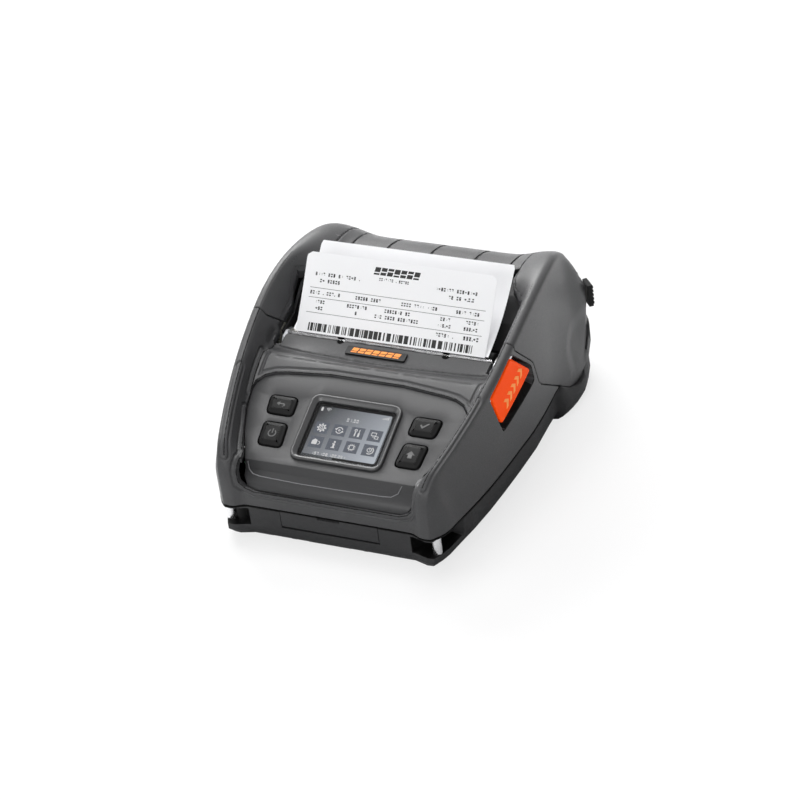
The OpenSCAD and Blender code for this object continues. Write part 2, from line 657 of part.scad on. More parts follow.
module mechanism_frame() {
    rear_top = lid_floor[0].x - 0.4;
    plate = [[-24, 24], [20, 24], [20, 50], [rear_top, 54.6], [rear_top, 58.4], [platen.x + 4.3, 58.4],
        [platen.x + 4.3, platen.y], [platen.x - 4.3, platen.y], [platen.x - 4.3, 57.6], [-14, 57.4], [-24, 50]];
    color("#8e9094") difference() {
        union() {
            both() across(plate_x, plate_x + plate_t, plate);
            across(-plate_x - touch, plate_x + touch, [[bar_y - 2, 52.5], [bar_y, 52.5], [bar_y, 57],
                [bar_y - 2, 57]]);
            across(-plate_x - touch, plate_x + touch, [[-6, 24], [16, 24], [16, 25.5], [-6, 25.5]]);
            rod(-plate_x - touch, -plate_x + 0.6, motor, 13);
        }
        both() rod(plate_x - 1, plate_x + plate_t + 1, platen, 4.3);
        both() rod(plate_x - 1, plate_x + plate_t + 1, latch, latch_r + running);
        both() rod(plate_x - 1, plate_x + plate_t + 1, head_pivot, head_pivot_r + running);
        rod(-plate_x - plate_t - 1, -plate_x + 1, motor, 4);
    }
}
module print_head() {
    head_y = platen.x - platen_r - 0.6;
    color("#b8b4a8") union() {
        box([-print_half, head_y - 2, 45], [print_half, head_y, 58.5]);
        box([-print_half + 4, head_y - 4, 47], [print_half - 4, head_y - 2 + touch, 57.5]);
    }
}
module head_bracket() {
    back_y = platen.x - platen_r - 4.6;
    color("#77797d") union() {
        box([-print_half + 1, back_y - 2.4, head_pivot.y - 1], [print_half - 1, back_y, 57]);
        rod(-plate_x - plate_t, plate_x + plate_t, head_pivot, head_pivot_r);
    }
}
module coil(r, wire, pitch, turns) {
    for (i = [0:turns - 1]) translate([0, 0, wire + i * pitch]) rotate_extrude() translate([r, 0])
        circle(r = wire, $fn = 16);
}
module head_springs() {
    color("silver") both() translate([spring_x, bar_y + 0.1, spring_z - 2]) rotate([-90, 0, 0])
        coil(1.6, 0.42, 0.8, 7);
}
module platen_shaft() {
    color("silver") rod(-gear_x - gear_w, mech_half - 0.4, platen, shaft_r);
}
module platen_rubber() {
    color("#2c2c2e") difference() {
        rod(-print_half, print_half, platen, platen_r);
        rod(-print_w, print_w, platen, shaft_r);
    }
}
module platen_bushes() {
    color("#dcdcd4") both() difference() {
        rod(print_half + 1, mech_half - 0.2, platen, bush_r);
        rod(print_half, mech_half + 1, platen, shaft_r + running);
    }
}
module platen_gear() {
    color("#e4e0d0") difference() {
        gear_on(platen, -gear_x - gear_w, platen_teeth, gear_w, side_angle(idler_way));
        rod(-80, 0, platen, shaft_r);
    }
}
module reduction_gear() {
    color("#e4e0d0") difference() {
        union() {
            gear_on(idler, -gear_x - gear_w, small_teeth, gear_w,
                side_angle(idler_way) + 180 + 180 / small_teeth);
            rod(-large_x - large_w, -gear_x - gear_w + touch, idler, 4);
            gear_on(idler, -large_x - large_w, large_teeth, large_w, side_angle(motor_way));
        }
        rod(-80, 0, idler, 1.2 + running);
    }
}
module motor_pinion() {
    color("#c9a64a") union() {
        gear_on(motor, -large_x - large_w, pinion_teeth, large_w,
            side_angle(motor_way) + 180 + 180 / pinion_teeth);
        rod(-large_x - large_w, -plate_x + 1.5, motor, 1);
    }
}
module feed_motor() {
    front_x = plate_x - 0.6;
    color("#9a9ca0") difference() {
        union() {
            rod(-front_x + 0.6, -front_x + 0.6 + motor_l, motor, motor_d / 2);
            rod(-front_x, -front_x + 0.6 + touch, motor, 3);
        }
        rod(-plate_x - 1, -plate_x + 4, motor, 1 + running);
    }
}
module gear_bracket() {
    color("#8e9094") union() {
        across(-bracket_x - 1.2, -bracket_x, [[-22, 27], [2, 27], [2, 50], [-6, 52], [-22, 46]]);
        across(-bracket_x - 1.2, -plate_x - plate_t, [[-22, 27], [2, 27], [2, 28.5], [-22, 28.5]]);
        rod(-bracket_x - touch, -gear_x - 0.1, idler, 1.2);
    }
}
module label_roll() {
    color("#f2f2ee") difference() {
        rod(-media_half, media_half, roll, roll_r);
        rod(-media_half - 1, media_half + 1, roll, core_r + core_wall);
    }
}
module roll_core() {
    color("#c2a06c") difference() {
        rod(-media_half, media_half, roll, core_r + core_wall);
        rod(-media_half - 1, media_half + 1, roll, core_r);
    }
}
// Guide for the right end of the roll, with its rack on the side of the pinion given by way
module media_guide(way) {
    pitch = PI * guide_m;
    tip = guide_pitch_r - 0.7 * guide_m;
    root = guide_pitch_r + 0.95 * guide_m;
    color("#2e2e31") union() {
        rod(guide_x, guide_x + guide_t, roll, guide_r);
        box([guide_x, roll.x - 14, rack_z], [guide_x + guide_t, roll.x + 14, roll.y - 12]);
        rod(guide_x - hub_l, guide_x + touch, roll, core_r - running);
        translate([0, roll.x, rack_z]) scale([1, way, 1]) {
            box([-7, root - touch, 0], [guide_x + touch, root + 2, rack_h]);
            for (i = [-2:6]) translate([(i + 0.5) * pitch, 0, 0]) linear_extrude(rack_h) polygon([
                [-0.12 * pitch, tip], [0.12 * pitch, tip], [0.27 * pitch, root], [-0.27 * pitch, root]]);
        }
    }
}
module left_guide() mirror([1, 0, 0]) media_guide(-1);
module right_guide() media_guide(1);
module guide_pinion() {
    color("#dcdcd4") translate([0, roll.x, rack_z]) difference() {
        rotate([0, 0, 90]) gear(guide_teeth, guide_m, rack_h);
        translate([0, 0, -1]) cylinder(r = guide_pin_r + running, h = rack_h + 2);
    }
}
// A leaf of paper that leaves the printer along a slope, w wide on each side
module leaf(at, slope, w, l, r) {
    translate([0, at.x, at.y]) rotate([slope, 0, 0]) linear_extrude(leaf_t)
        polygon(concat([[-w, 0], [w, 0]],
            [for (k = [0:4]) [w - r + r * cos(k * 22.5), l - r + r * sin(k * 22.5)]],
            [for (k = [4:-1:0]) [-w + r - r * cos(k * 22.5), l - r + r * sin(k * 22.5)]]));
}
module label_strip() {
    color("white") leaf(leaf_at, leaf_slope, media_half, strip_l, 3);
}
module liner_strip() {
    color("#f4f4f2") leaf(liner_at, liner_slope, media_half + 1.5, liner_l, 1);
}
module main_board() {
    color("#1f5a3a") union() {
        box([-board_half, -80, board_z], [board_half, -8, board_z + pcb_t]);
        box([-14, -60, board_z + pcb_t], [2, -44, board_z + pcb_t + 1.4]);
        box([10, -52, board_z + pcb_t], [20, -42, board_z + pcb_t + 1.2]);
        for (x = [-30, -24]) translate([x, -20, board_z + pcb_t]) cylinder(r = 2.5, h = 6);
        box([24, -16, board_z + pcb_t], [40, -10, board_z + pcb_t + 5]);
    }
}
module wireless_module() {
    color("#b8bcc0") box([24, -60, board_z + pcb_t], [38, -40, board_z + pcb_t + 2.4]);
}
module battery_pack() {
    color("#242427") difference() {
        across(-battery_w / 2, battery_w / 2, [[battery_y, battery_z], [rear_y - 3.5, battery_z],
            [rear_y - 1, battery_z + 1.5], [rear_y, battery_z + 4], [rear_y, battery_z + battery_h],
            [battery_y, battery_z + battery_h]]);
        for (x = [-30:4:30])
            box([x, rear_y - 0.6, battery_z + 5], [x + 1.6, rear_y + 1, battery_z + battery_h - 3]);
        box([-15, battery_y - 1, battery_z + 4], [15, battery_y + 2, battery_z + 9]);
    }
}
module battery_latch() {
    low = battery_z + battery_h + 1.7;
    color("#1f1f21") union() {
        box([-latch_half, rear_y - 3.7, low], [latch_half, rear_y + 0.4, 28.7]);
        for (x = [-5:2.5:5]) box([x - 0.5, rear_y + 0.4 - touch, low + 0.6], [x + 0.5, rear_y + 1, 28.1]);
    }
}
module battery_contacts() {
    color("#1f1f21") union() {
        box([-13, contact_y, floor_t], [13, battery_y - play, 16]);
        for (x = [-9:4.5:9])
            box([x - 0.8, battery_y - play - touch, battery_z + 5], [x + 0.8, battery_y + 1.2, battery_z + 8]);
    }
}
port_hinge = [-87.6, port_top - port_h + 1.2];
module port_cover() {
    color("#2b2b2e") difference() {
        union() {
            box([-port_w / 2, -89.1, port_top - port_h + 1.2], [port_w / 2, -87, port_top]);
            rod(-port_w / 2, port_w / 2, port_hinge, 1.2);
        }
        box([-6, -92, port_top - 1.2], [6, -88.4, port_top + 1]);
    }
}
module usb_socket() {
    color("silver") difference() {
        box([-17, -86, board_z + pcb_t], [-8, -79, board_z + pcb_t + 3.2]);
        box([-16.4, -87, board_z + pcb_t + 0.6], [-8.6, -80, board_z + pcb_t + 2.6]);
    }
}
inlet_z = board_z + pcb_t + 3.6;
module power_inlet() {
    color("#1c1c1e") union() {
        difference() {
            union() {
                box([5.5, -80, board_z + pcb_t], [14.5, -72, inlet_z + 3.2]);
                translate([10, -79.9, inlet_z]) rotate([90, 0, 0]) cylinder(r = 3.6, h = 6);
            }
            translate([10, -77, inlet_z]) rotate([90, 0, 0]) cylinder(r = 2.75, h = 12);
        }
        translate([10, -76.9, inlet_z]) rotate([90, 0, 0]) cylinder(r = 0.65, h = 8);
    }
}
module strap_pins() {
    color("silver") both() translate([pin_seat.x, pin_seat.y, strap_z.x])
        cylinder(r = strap_pin_r, h = strap_z.y - strap_z.x);
}
module hinge_pin() {
    color("silver") rod(-45.5, 45.5, hinge, pin_r);
}
module hinge_springs() {
    color("silver") both() for (i = [0:3]) translate([1.2 + i * 1.15, hinge.x, hinge.y]) rotate([0, 90, 0])
        rotate_extrude() translate([pin_r + 0.9, 0]) circle(r = 0.6, $fn = 16);
}
module rear_bumpers() {
    color("#1c1c1e") both() translate([bumper_at.x, bumper_at.y, bumper_z]) rotate([0, 0, bumper_turn]) {
        box([-4, 0.2, 0], [4, 2.6, 13]);
        for (z = [0.9:2.4:11]) box([-3.4, 2.6 - touch, z], [3.4, 3.3, z + 1.3]);
    }
}
module rubber_feet() {
    color("#1c1c1e") both() for (p = foot_seats) translate([p.x, p.y, 0]) cylinder(r = foot_r, h = foot_h);
}
module cover_screws() {
    color("#77797d") both() for (p = screw_seats) translate([p.x, p.y, 0.6]) difference() {
        union() {
            cylinder(r = 2.7, h = 1.8);
            cylinder(r = 1.4, h = 13);
        }
        translate([0, 0, -1]) cylinder(r = 1.3, h = 1.8, $fn = 6);
    }
}
module label_sensor() {
    color("#26262a") union() {
        box([-6, bay_y + bay_t + 0.1, 34], [6, bay_y + bay_t + 2.4, 39]);
        box([-2, bay_y + bay_t + 2.4 - touch, 35.5], [2, bay_y + bay_t + 3, 37.5]);
    }
}
lid_floor = [[17, 58], [30, 66], [45, 73], [57, 76], [57, 74], [45, 71], [30, 64], [17, 56]];
lid_arm = [[3, 49], [15, 49], [24, 58], [57, 72], [57, 79], [30, 74], [16, 64], [3, 62]];
module lid_shell() {
    color("#3f3f43") difference() {
        union() {
            difference() {
                intersection() {
                    skin(lid_first, last, 6);
                    across(-90, 90, lid_cut);
                }
                tower(mouth, 50, 100);
                box([-flap_half - flap_gap, flap_y - 1, flap_z - slit], [flap_half + flap_gap, 120, 100]);
                both() roof_groove(flap_half + 7.5, groove_deep);
            }
            both() box([53 + grow, 50.5, 75.8], [59 + grow, 55, 83]);
            for (k = lid_knuckles) both() {
                rod(k.x, k.y, hinge, knuckle_r);
                box([k.x, hinge.x - 2.4, hinge.y], [k.y, hinge.x + 1.4, hinge.y + 6]);
            }
        }
        rod(-60, 60, hinge, pin_r + running);
    }
}
module roof_flap() {
    color("#3f3f43") difference() {
        intersection() {
            skin(dome_first + 5, last - 1, seam_z);
            box([-flap_half, flap_y, flap_z], [flap_half, 120, 100]);
        }
        for (x = [-groove_x, 0, groove_x]) roof_groove(x, groove_deep);
    }
}
module lid_trim() {
    color("#4a4a4e") difference() {
        intersection() {
            skin(lid_first, dome_first + 8, seam_z);
            across(-90, 90, lid_cut);
            tower(spread(mouth, -slit), 50, 100);
        }
        tower(spread(mouth, -slit - trim_w), 40, 110);
        box([-48 - grow, 40, 40], [48 + grow, 80, 110]);
    }
}
module lid_inner_frame() {
    arm_x = mech_half - 1.7;
    color("#606268") difference() {
        union() {
            across(-arm_x, arm_x, lid_floor);
            both() across(arm_x - touch, mech_half - 0.2, lid_arm);
        }
        both() rod(print_half, mech_half + 3, platen, bush_r);
    }
}

lower_housing();
front_cover();
control_panel();
lid_shell();
roof_flap();
lid_trim();
lid_inner_frame();
screen_rim();
screen_window();
screen_module();
screen_gasket();
back_button();
power_button();
confirm_button();
menu_button();
keypad_board();
badge_plate();
release_lever();
lever_pin();
latch_shaft();
tear_bar();
mechanism_frame();
print_head();
head_bracket();
head_springs();
platen_shaft();
platen_rubber();
platen_bushes();
platen_gear();
reduction_gear();
motor_pinion();
feed_motor();
gear_bracket();
label_roll();
roll_core();
left_guide();
right_guide();
guide_pinion();
label_strip();
liner_strip();
main_board();
wireless_module();
battery_pack();
battery_latch();
battery_contacts();
port_cover();
usb_socket();
power_inlet();
strap_pins();
hinge_pin();
hinge_springs();
rear_bumpers();
rubber_feet();
cover_screws();
label_sensor();
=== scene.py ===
import math
import random

import bmesh
import bpy
import numpy as np
from mathutils import Matrix, Vector
from mathutils.bvhtree import BVHTree
from mathutils.geometry import tessellate_polygon
from mathutils.interpolate import poly_3d_calc
from mathutils.kdtree import KDTree


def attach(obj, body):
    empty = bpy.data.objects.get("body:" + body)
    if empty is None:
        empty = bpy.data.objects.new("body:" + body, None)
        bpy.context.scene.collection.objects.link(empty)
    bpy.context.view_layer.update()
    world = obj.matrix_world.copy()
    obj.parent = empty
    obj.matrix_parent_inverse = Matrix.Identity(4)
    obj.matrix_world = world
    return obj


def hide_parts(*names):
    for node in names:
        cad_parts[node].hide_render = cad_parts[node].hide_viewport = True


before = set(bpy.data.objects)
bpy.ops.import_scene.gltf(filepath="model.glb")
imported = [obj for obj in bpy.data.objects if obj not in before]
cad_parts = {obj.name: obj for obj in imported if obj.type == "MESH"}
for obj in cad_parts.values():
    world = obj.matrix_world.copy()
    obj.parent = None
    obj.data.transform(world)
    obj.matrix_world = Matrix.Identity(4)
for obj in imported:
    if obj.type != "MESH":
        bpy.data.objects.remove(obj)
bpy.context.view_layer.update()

MM = 0.001
scene = bpy.context.scene


# Casing surface
# The moulded covers follow one surface: sections across the body at stations along the side ridge.
# In plan the sides bow out by a wide arc, and in side view the ridge turns over the nose, rises by the slope,
# bends over the dome, falls by the tail's angle and turns down round the back.
FRONT_Y = -91.5
SEAM_Z = 20.5
RIDGE_HALF = 72.3
WIDEST_Y = 12
BOW_R = 345
FLARE = 1.8
NOSE_R = 17.5
NOSE = (FRONT_Y + NOSE_R, 37.0)
SLOPE = 18.4
DOME_Y = -2.0
DOME_R = 130.0
TAIL = 13.0
BACK_R = 41.0
CREST_HALF = 4.5
# From front to rear: the sides' flare, the middle's depth, the ridge's width and the height of its crest
WIDE = [(FRONT_Y, 0.4), (-88, 1.4), (-82, 1.9), (-73, 1.45), (-57, 1.25), (-28, 0.7), (-12, 0.6), (5, 0.9),
        (40, 0.9), (52, 2), (65, 3.9), (80, 5.4), (88, 5.7), (94, 4.9), (97.5, 3.7)]
SUNK = [(FRONT_Y, 2.5), (FRONT_Y + 6, 6), (-75, 9.5), (-28.8, 8.4), (-22.8, 8.8), (-16.2, 13.9),
        (-10.5, 15.3), (-5.2, 16.2), (20, 16), (31, 12), (41, 5), (55, 4.2), (80, 3.6)]
FOOT = [(FRONT_Y, 12), (-80, 11), (-64, 9.3), (-40, 8.8), (-20, 10), (-5, 13), (30, 13), (41, 20), (55, 25),
        (80, 27)]
CREST = [(FRONT_Y, 0.4), (-80, 1.8), (60, 2)]


def lerp(a, b, t):
    return a + (b - a) * t


def clamp(v, low, high):
    return max(low, min(high, v))


def ease(t):
    return t * t * (3 - 2 * t)


def lookup(v, rows):
    return float(np.interp(v, [r[0] for r in rows], [r[1] for r in rows]))


def stations():
    """Places along one ridge, from the front foot over the top to the rear foot: y, z and facing angle."""
    up, fall = 90 + SLOPE, 90 - TAIL
    rad = math.radians
    ax, az = NOSE[0] + NOSE_R * math.cos(rad(up)), NOSE[1] + NOSE_R * math.sin(rad(up))
    bx, bz = DOME_Y, az + (DOME_Y - ax) * math.tan(rad(SLOPE))
    dx, dz = bx - DOME_R * math.cos(rad(up)), bz - DOME_R * math.sin(rad(up))
    kx, kz = dx + (DOME_R - BACK_R) * math.cos(rad(fall)), dz + (DOME_R - BACK_R) * math.sin(rad(fall))
    rear = kx + BACK_R
    rows = [(FRONT_Y, SEAM_Z, 180), (FRONT_Y, (SEAM_Z + NOSE[1]) / 2, 180)]
    for i in range(6):
        a = lerp(180, up, i / 5)
        rows.append((NOSE[0] + NOSE_R * math.cos(rad(a)), NOSE[1] + NOSE_R * math.sin(rad(a)), a))
    for y in (-66, -50, -36, -28.8, -22.8, -16.2, -10.5, -5.2):
        rows.append((y, az + (y - ax) * math.tan(rad(SLOPE)), up))
    for i in range(10):
        a = lerp(up, fall, i / 9)
        rows.append((dx + DOME_R * math.cos(rad(a)), dz + DOME_R * math.sin(rad(a)), a))
    for i in range(1, 8):
        a = lerp(fall, 0, i / 7)
        rows.append((kx + BACK_R * math.cos(rad(a)), kz + BACK_R * math.sin(rad(a)), a))
    rows += [(rear, (kz + SEAM_Z) / 2, 0), (rear, SEAM_Z, 0)]
    return rows, rear


STATIONS, REAR_Y = stations()
LAST = len(STATIONS) - 1


def half_at(y):
    return RIDGE_HALF - BOW_R + math.sqrt(BOW_R * BOW_R - (y - WIDEST_Y) ** 2)


def side_point(y, z, e):
    return (lerp(half_at(y), half_at(y) + FLARE * lookup(y, WIDE + [(REAR_Y, 1)]), e), y, z)


def half_section(i):
    y, z, a = STATIONS[i]
    n = np.array([math.cos(math.radians(a)), math.sin(math.radians(a))])
    p = np.array([y, z])
    d = lookup(y, SUNK + [(REAR_Y, 1.2)])
    b = lookup(y, CREST + [(REAR_Y, 0.5)])
    c = half_at(y) - CREST_HALF
    f = half_at(y) - lookup(y, FOOT + [(REAR_Y, 24)])
    end = clamp((abs(a - 90) - 30) / 50, 0, 1)
    ys = lerp(lerp(FRONT_Y + 10, REAR_Y - 14, i / LAST), clamp(y, FRONT_Y + 10, REAR_Y - 14), 0.5)
    q1, q2 = p - 2.5 * n, p - 6 * n
    z2 = max(q2[1], SEAM_Z)
    rows = [(f * k / 3, *(p - d * n)) for k in range(3)]
    rows += [(lerp(f, c, k / 4), *(p + lerp(-d, b, ease(k / 4)) * n)) for k in range(5)]
    rows += [(c + CREST_HALF * math.sin(math.radians(k * 30)), *(p + b * math.cos(math.radians(k * 30)) * n))
             for k in (1, 2, 3)]
    rows.append(side_point(q1[0], max(q1[1], SEAM_Z), lerp(0, 0.8, end)))
    rows.append(side_point(q2[0], z2, lerp(0.03, 1, end)))
    rows.append(side_point(lerp(q2[0], ys, 0.3), lerp(z2, SEAM_Z, 0.3), lerp(0.22, 1, end)))
    rows.append(side_point(lerp(q2[0], ys, 0.65), lerp(z2, SEAM_Z, 0.65), lerp(0.62, 1, end)))
    rows.append(side_point(ys, SEAM_Z, 1))
    return rows


def section(i):
    h = half_section(i)
    return [(-x, y, z) for x, y, z in h[:0:-1]] + h


def casing_grid():
    rows = [section(i) for i in range(LAST + 1)]
    n = len(rows[0])
    verts = [v for r in rows for v in r]
    quads = [(i * n + k, i * n + k + 1, (i + 1) * n + k + 1, (i + 1) * n + k)
             for i in range(LAST) for k in range(n - 1)]
    return verts, quads, n


def coarse_tree():
    verts, quads, n = casing_grid()
    tris = []
    for j, (a, b, c, d) in enumerate(quads):
        i, k = divmod(j, n - 1)
        other = (k < (n - 1) / 2) == (i < LAST / 2)
        tris += [(a, c, b), (a, d, c)] if other else [(a, d, b), (b, d, c)]
    return BVHTree.FromPolygons([Vector(v) for v in verts], tris)


def smooth_casing():
    """The same surface rounded by subdivision, with its normals."""
    verts, quads = casing_grid()[:2]
    mesh = bpy.data.meshes.new("casing_form")
    mesh.from_pydata([tuple(c * MM for c in v) for v in verts], [], quads)
    o = bpy.data.objects.new("casing_form", mesh)
    scene.collection.objects.link(o)
    m = o.modifiers.new("round", "SUBSURF")
    m.levels = m.render_levels = 3
    m.boundary_smooth = "PRESERVE_CORNERS"
    dg = bpy.context.evaluated_depsgraph_get()
    fine = bpy.data.meshes.new_from_object(o.evaluated_get(dg), depsgraph=dg)
    co = [v.co / MM for v in fine.vertices]
    normals = [v.normal.copy() for v in fine.vertices]
    polys = [tuple(p.vertices) for p in fine.polygons]
    bpy.data.objects.remove(o)
    tree = BVHTree.FromPolygons(co, polys)

    def at(p):
        """The nearest place on the surface, its normal and how far it is."""
        q, _, index, distance = tree.find_nearest(p)
        ids = polys[index]
        w = poly_3d_calc([co[v] for v in ids], q)
        normal = sum((normals[v] * t for v, t in zip(ids, w)), Vector())
        normal.normalize()
        return q, normal, distance

    return at


# Materials
def fill(nt, node, inputs):
    """Gives a node's inputs their values, or links them to other nodes' outputs."""
    for key, value in inputs.items():
        if isinstance(value, bpy.types.NodeSocket):
            nt.links.new(value, node.inputs[key])
        else:
            node.inputs[key].default_value = value
    return node


def add(nt, kind, inputs=None, **settings):
    """A new node with its settings and inputs."""
    node = nt.nodes.new(kind)
    for key, value in settings.items():
        setattr(node, key, value)
    return fill(nt, node, inputs or {})


def tree_of(name):
    mat = bpy.data.materials.new(name)
    mat.use_nodes = True
    nt = mat.node_tree
    nt.nodes.clear()
    shader = nt.nodes.new("ShaderNodeBsdfPrincipled")
    add(nt, "ShaderNodeOutputMaterial", {0: shader.outputs[0]})
    return mat, nt, shader


def spots(nt):
    """Places on the object, in metres."""
    return nt.nodes.new("ShaderNodeTexCoord").outputs["Object"]


def srgb(value):
    c = value / 255
    return c / 12.92 if c <= 0.04045 else ((c + 0.055) / 1.055) ** 2.4


def grey(value, tint=(1, 1, 1)):
    return tuple(srgb(value) * t for t in tint)


def times(colour, factor):
    return tuple(v * factor for v in colour)


def noise(nt, coords, size_mm, detail=2.0, rough=0.5):
    return add(nt, "ShaderNodeTexNoise", {"Scale": 1 / (size_mm * MM), "Detail": detail, "Roughness": rough,
                                          "Vector": coords}).outputs["Fac"]


def ramp(nt, value, low, high, a, b):
    return add(nt, "ShaderNodeMapRange", {"From Min": low, "From Max": high, "To Min": a, "To Max": b,
                                          "Value": value}).outputs["Result"]


def mixed(nt, value, a, b):
    n = add(nt, "ShaderNodeMix", {"Factor": value}, data_type="RGBA")
    for s, c in zip([s for s in n.inputs if s.type == "RGBA"], (a, b)):
        if isinstance(c, tuple):
            s.default_value = (*c, 1)
        else:
            nt.links.new(c, s)
    return [s for s in n.outputs if s.type == "RGBA"][0]


def bumped(nt, shader, height, strength, depth_mm, edge_mm=0.0):
    b = add(nt, "ShaderNodeBump", {"Strength": strength, "Distance": depth_mm * MM, "Height": height})
    if edge_mm:
        e = add(nt, "ShaderNodeBevel", {"Radius": edge_mm * MM}, samples=4)
        nt.links.new(e.outputs["Normal"], b.inputs["Normal"])
    nt.links.new(b.outputs["Normal"], shader.inputs["Normal"])


def moulded(name, colour, rough=0.5, grain=0.45, depth=0.05, strength=0.35, mottle=0.06, edge=0.3,
            specular=0.2, glow=0.0):
    """Injection-moulded plastic or rubber: spark-eroded grain, faint flow mottling and rounded edges. A glow
    above nought is painted light: the plastic shines with its own colour.
    """
    mat, nt, s = tree_of(name)
    c = spots(nt)
    fine = noise(nt, c, grain, 3, 0.6)
    broad = noise(nt, c, 38, 3, 0.55)
    body = mixed(nt, ramp(nt, broad, 0.3, 0.7, 0, 1), times(colour, 1 - mottle), times(colour, 1 + mottle))
    fill(nt, s, {"Base Color": mixed(nt, ramp(nt, fine, 0.36, 0.6, 0, 1), times(colour, 0.8), body),
                 "Roughness": ramp(nt, fine, 0.3, 0.7, rough + 0.1, rough - 0.06),
                 "Specular IOR Level": specular, "Emission Color": (*colour, 1), "Emission Strength": glow})
    bumped(nt, s, fine, strength, depth, edge)
    return mat


def metal(name, colour, rough=0.3, brush=0.25, edge=0.15):
    """Drawn or brushed metal with fine lines along X."""
    mat, nt, s = tree_of(name)
    m = add(nt, "ShaderNodeMapping", {"Scale": (0.04, 1, 1), "Vector": spots(nt)})
    lines = noise(nt, m.outputs["Vector"], 0.25, 3, 0.6)
    fill(nt, s, {"Base Color": mixed(nt, ramp(nt, lines, 0.35, 0.65, 0, 1), times(colour, 0.8), colour),
                 "Roughness": ramp(nt, lines, 0.3, 0.7, rough - 0.08, rough + 0.1), "Metallic": 1.0})
    bumped(nt, s, lines, brush, 0.01, edge)
    return mat


def paper_stock(name, colour, fibre=0.03):
    mat, nt, s = tree_of(name)
    fine = noise(nt, spots(nt), 0.35, 4, 0.65)
    fill(nt, s, {"Base Color": mixed(nt, ramp(nt, fine, 0.35, 0.65, 0, 1), times(colour, 1 - fibre), colour),
                 "Roughness": ramp(nt, fine, 0.3, 0.7, 0.5, 0.62)})
    bumped(nt, s, fine, 0.12, 0.02)
    return mat


def wound(name, colour, line, pitch_mm):
    """Paper or card wound round the roll's axis: its ends show the turns."""
    mat, nt, s = tree_of(name)
    c = spots(nt)
    m = add(nt, "ShaderNodeMapping", {"Location": (0, -ROLL[0] * MM, -ROLL[1] * MM), "Vector": c})
    flat = add(nt, "ShaderNodeVectorMath", {0: m.outputs["Vector"], 1: (0, 1, 1)}, operation="MULTIPLY")
    length = add(nt, "ShaderNodeVectorMath", {0: flat.outputs[0]}, operation="LENGTH")
    turn = add(nt, "ShaderNodeMath", {0: length.outputs["Value"], 1: 2 * math.pi / (pitch_mm * MM)},
               operation="MULTIPLY")
    wave = add(nt, "ShaderNodeMath", {0: turn.outputs[0]}, operation="SINE")
    fill(nt, s, {"Base Color": mixed(nt, ramp(nt, wave.outputs[0], 0.2, 1, 0, 1), colour, line),
                 "Roughness": 0.7})
    bumped(nt, s, noise(nt, c, 0.4, 3), 0.15, 0.03)
    return mat


def circuit(name, colour, copper):
    """Green solder mask over tracks that run square to each other."""
    mat, nt, s = tree_of(name)
    c = spots(nt)
    brick = add(nt, "ShaderNodeTexBrick", {"Scale": 160, "Mortar Size": 0.03, "Color1": (*colour, 1),
                                           "Color2": (*times(colour, 1.25), 1), "Mortar": (*copper, 1),
                                           "Vector": c})
    patches = ramp(nt, noise(nt, c, 9, 2), 0.45, 0.55, 0, 1)
    fill(nt, s, {"Base Color": mixed(nt, patches, colour, brick.outputs["Color"]), "Roughness": 0.35})
    bumped(nt, s, brick.outputs["Fac"], 0.2, 0.02)
    return mat


def lit(nt, s, colour):
    """Makes a surface shine with its own colour, as a backlit display does."""
    fill(nt, s, {"Emission Color": (*colour, 1) if isinstance(colour, tuple) else colour,
                 "Emission Strength": 1.0, "Base Color": (0.01, 0.01, 0.012, 1), "Roughness": 0.35,
                 "Specular IOR Level": 0.08})


def glowing(name, colour):
    mat, nt, s = tree_of(name)
    lit(nt, s, colour)
    return mat


def display_face(name, dark, light):
    """The lit panel of the display: a soft sweep from one corner to the other."""
    mat, nt, s = tree_of(name)
    m = add(nt, "ShaderNodeMapping", {"Rotation": (0, 0, math.radians(-35)), "Location": (0.002, -0.058, 0),
                                      "Vector": spots(nt)}, vector_type="TEXTURE")
    split = add(nt, "ShaderNodeSeparateXYZ", {0: m.outputs["Vector"]})
    lit(nt, s, mixed(nt, ramp(nt, split.outputs["X"], -0.024, 0.022, 0, 1), dark, light))
    return mat


def plain_gloss(name, colour, rough=0.3, alpha=1.0):
    mat, nt, s = tree_of(name)
    smear = noise(nt, spots(nt), 6, 2)
    fill(nt, s, {"Roughness": ramp(nt, smear, 0.3, 0.7, rough, rough + 0.08),
                 "Base Color": mixed(nt, smear, times(colour, 0.92), colour), "Alpha": alpha})
    return mat


ROLL = (48.0, 49.0)
NEUTRAL = (1.0, 1.0, 1.035)
COVER = moulded("cover_plastic", grey(63, NEUTRAL), 0.4, edge=0.5, specular=0.3)
HOUSING = moulded("housing_plastic", grey(50, NEUTRAL), 0.5, edge=0.4)
PANEL = moulded("panel_plastic", grey(56, NEUTRAL), 0.38, grain=0.3, depth=0.03, strength=0.25, edge=0.4,
                specular=0.3)
LINING = moulded("lining_plastic", grey(36, NEUTRAL), 0.42, grain=0.3, strength=0.2)
TRIM = moulded("trim_plastic", grey(64, NEUTRAL), 0.36, grain=0.3, strength=0.2, edge=0.45)
RIM = moulded("screen_rim_plastic", grey(62, NEUTRAL), 0.22, grain=0.3, depth=0.02, strength=0.12, edge=0.3,
              specular=0.5)
BLACK = moulded("black_plastic", grey(14), 0.5, grain=0.4, strength=0.3, specular=0.06)
KEYS = moulded("key_rubber", grey(27), 0.5, grain=0.25, depth=0.02, strength=0.3, mottle=0.04, edge=0.25,
               specular=0.12)
RUBBER = moulded("bumper_rubber", grey(24), 0.7, grain=0.3, strength=0.3, edge=0.2)
DOOR = moulded("port_door_rubber", grey(54, NEUTRAL), 0.6, grain=0.35, strength=0.3, edge=0.3)
BADGE = moulded("badge_plastic", grey(34), 0.32, grain=0.25, depth=0.01, strength=0.12, edge=0.2)
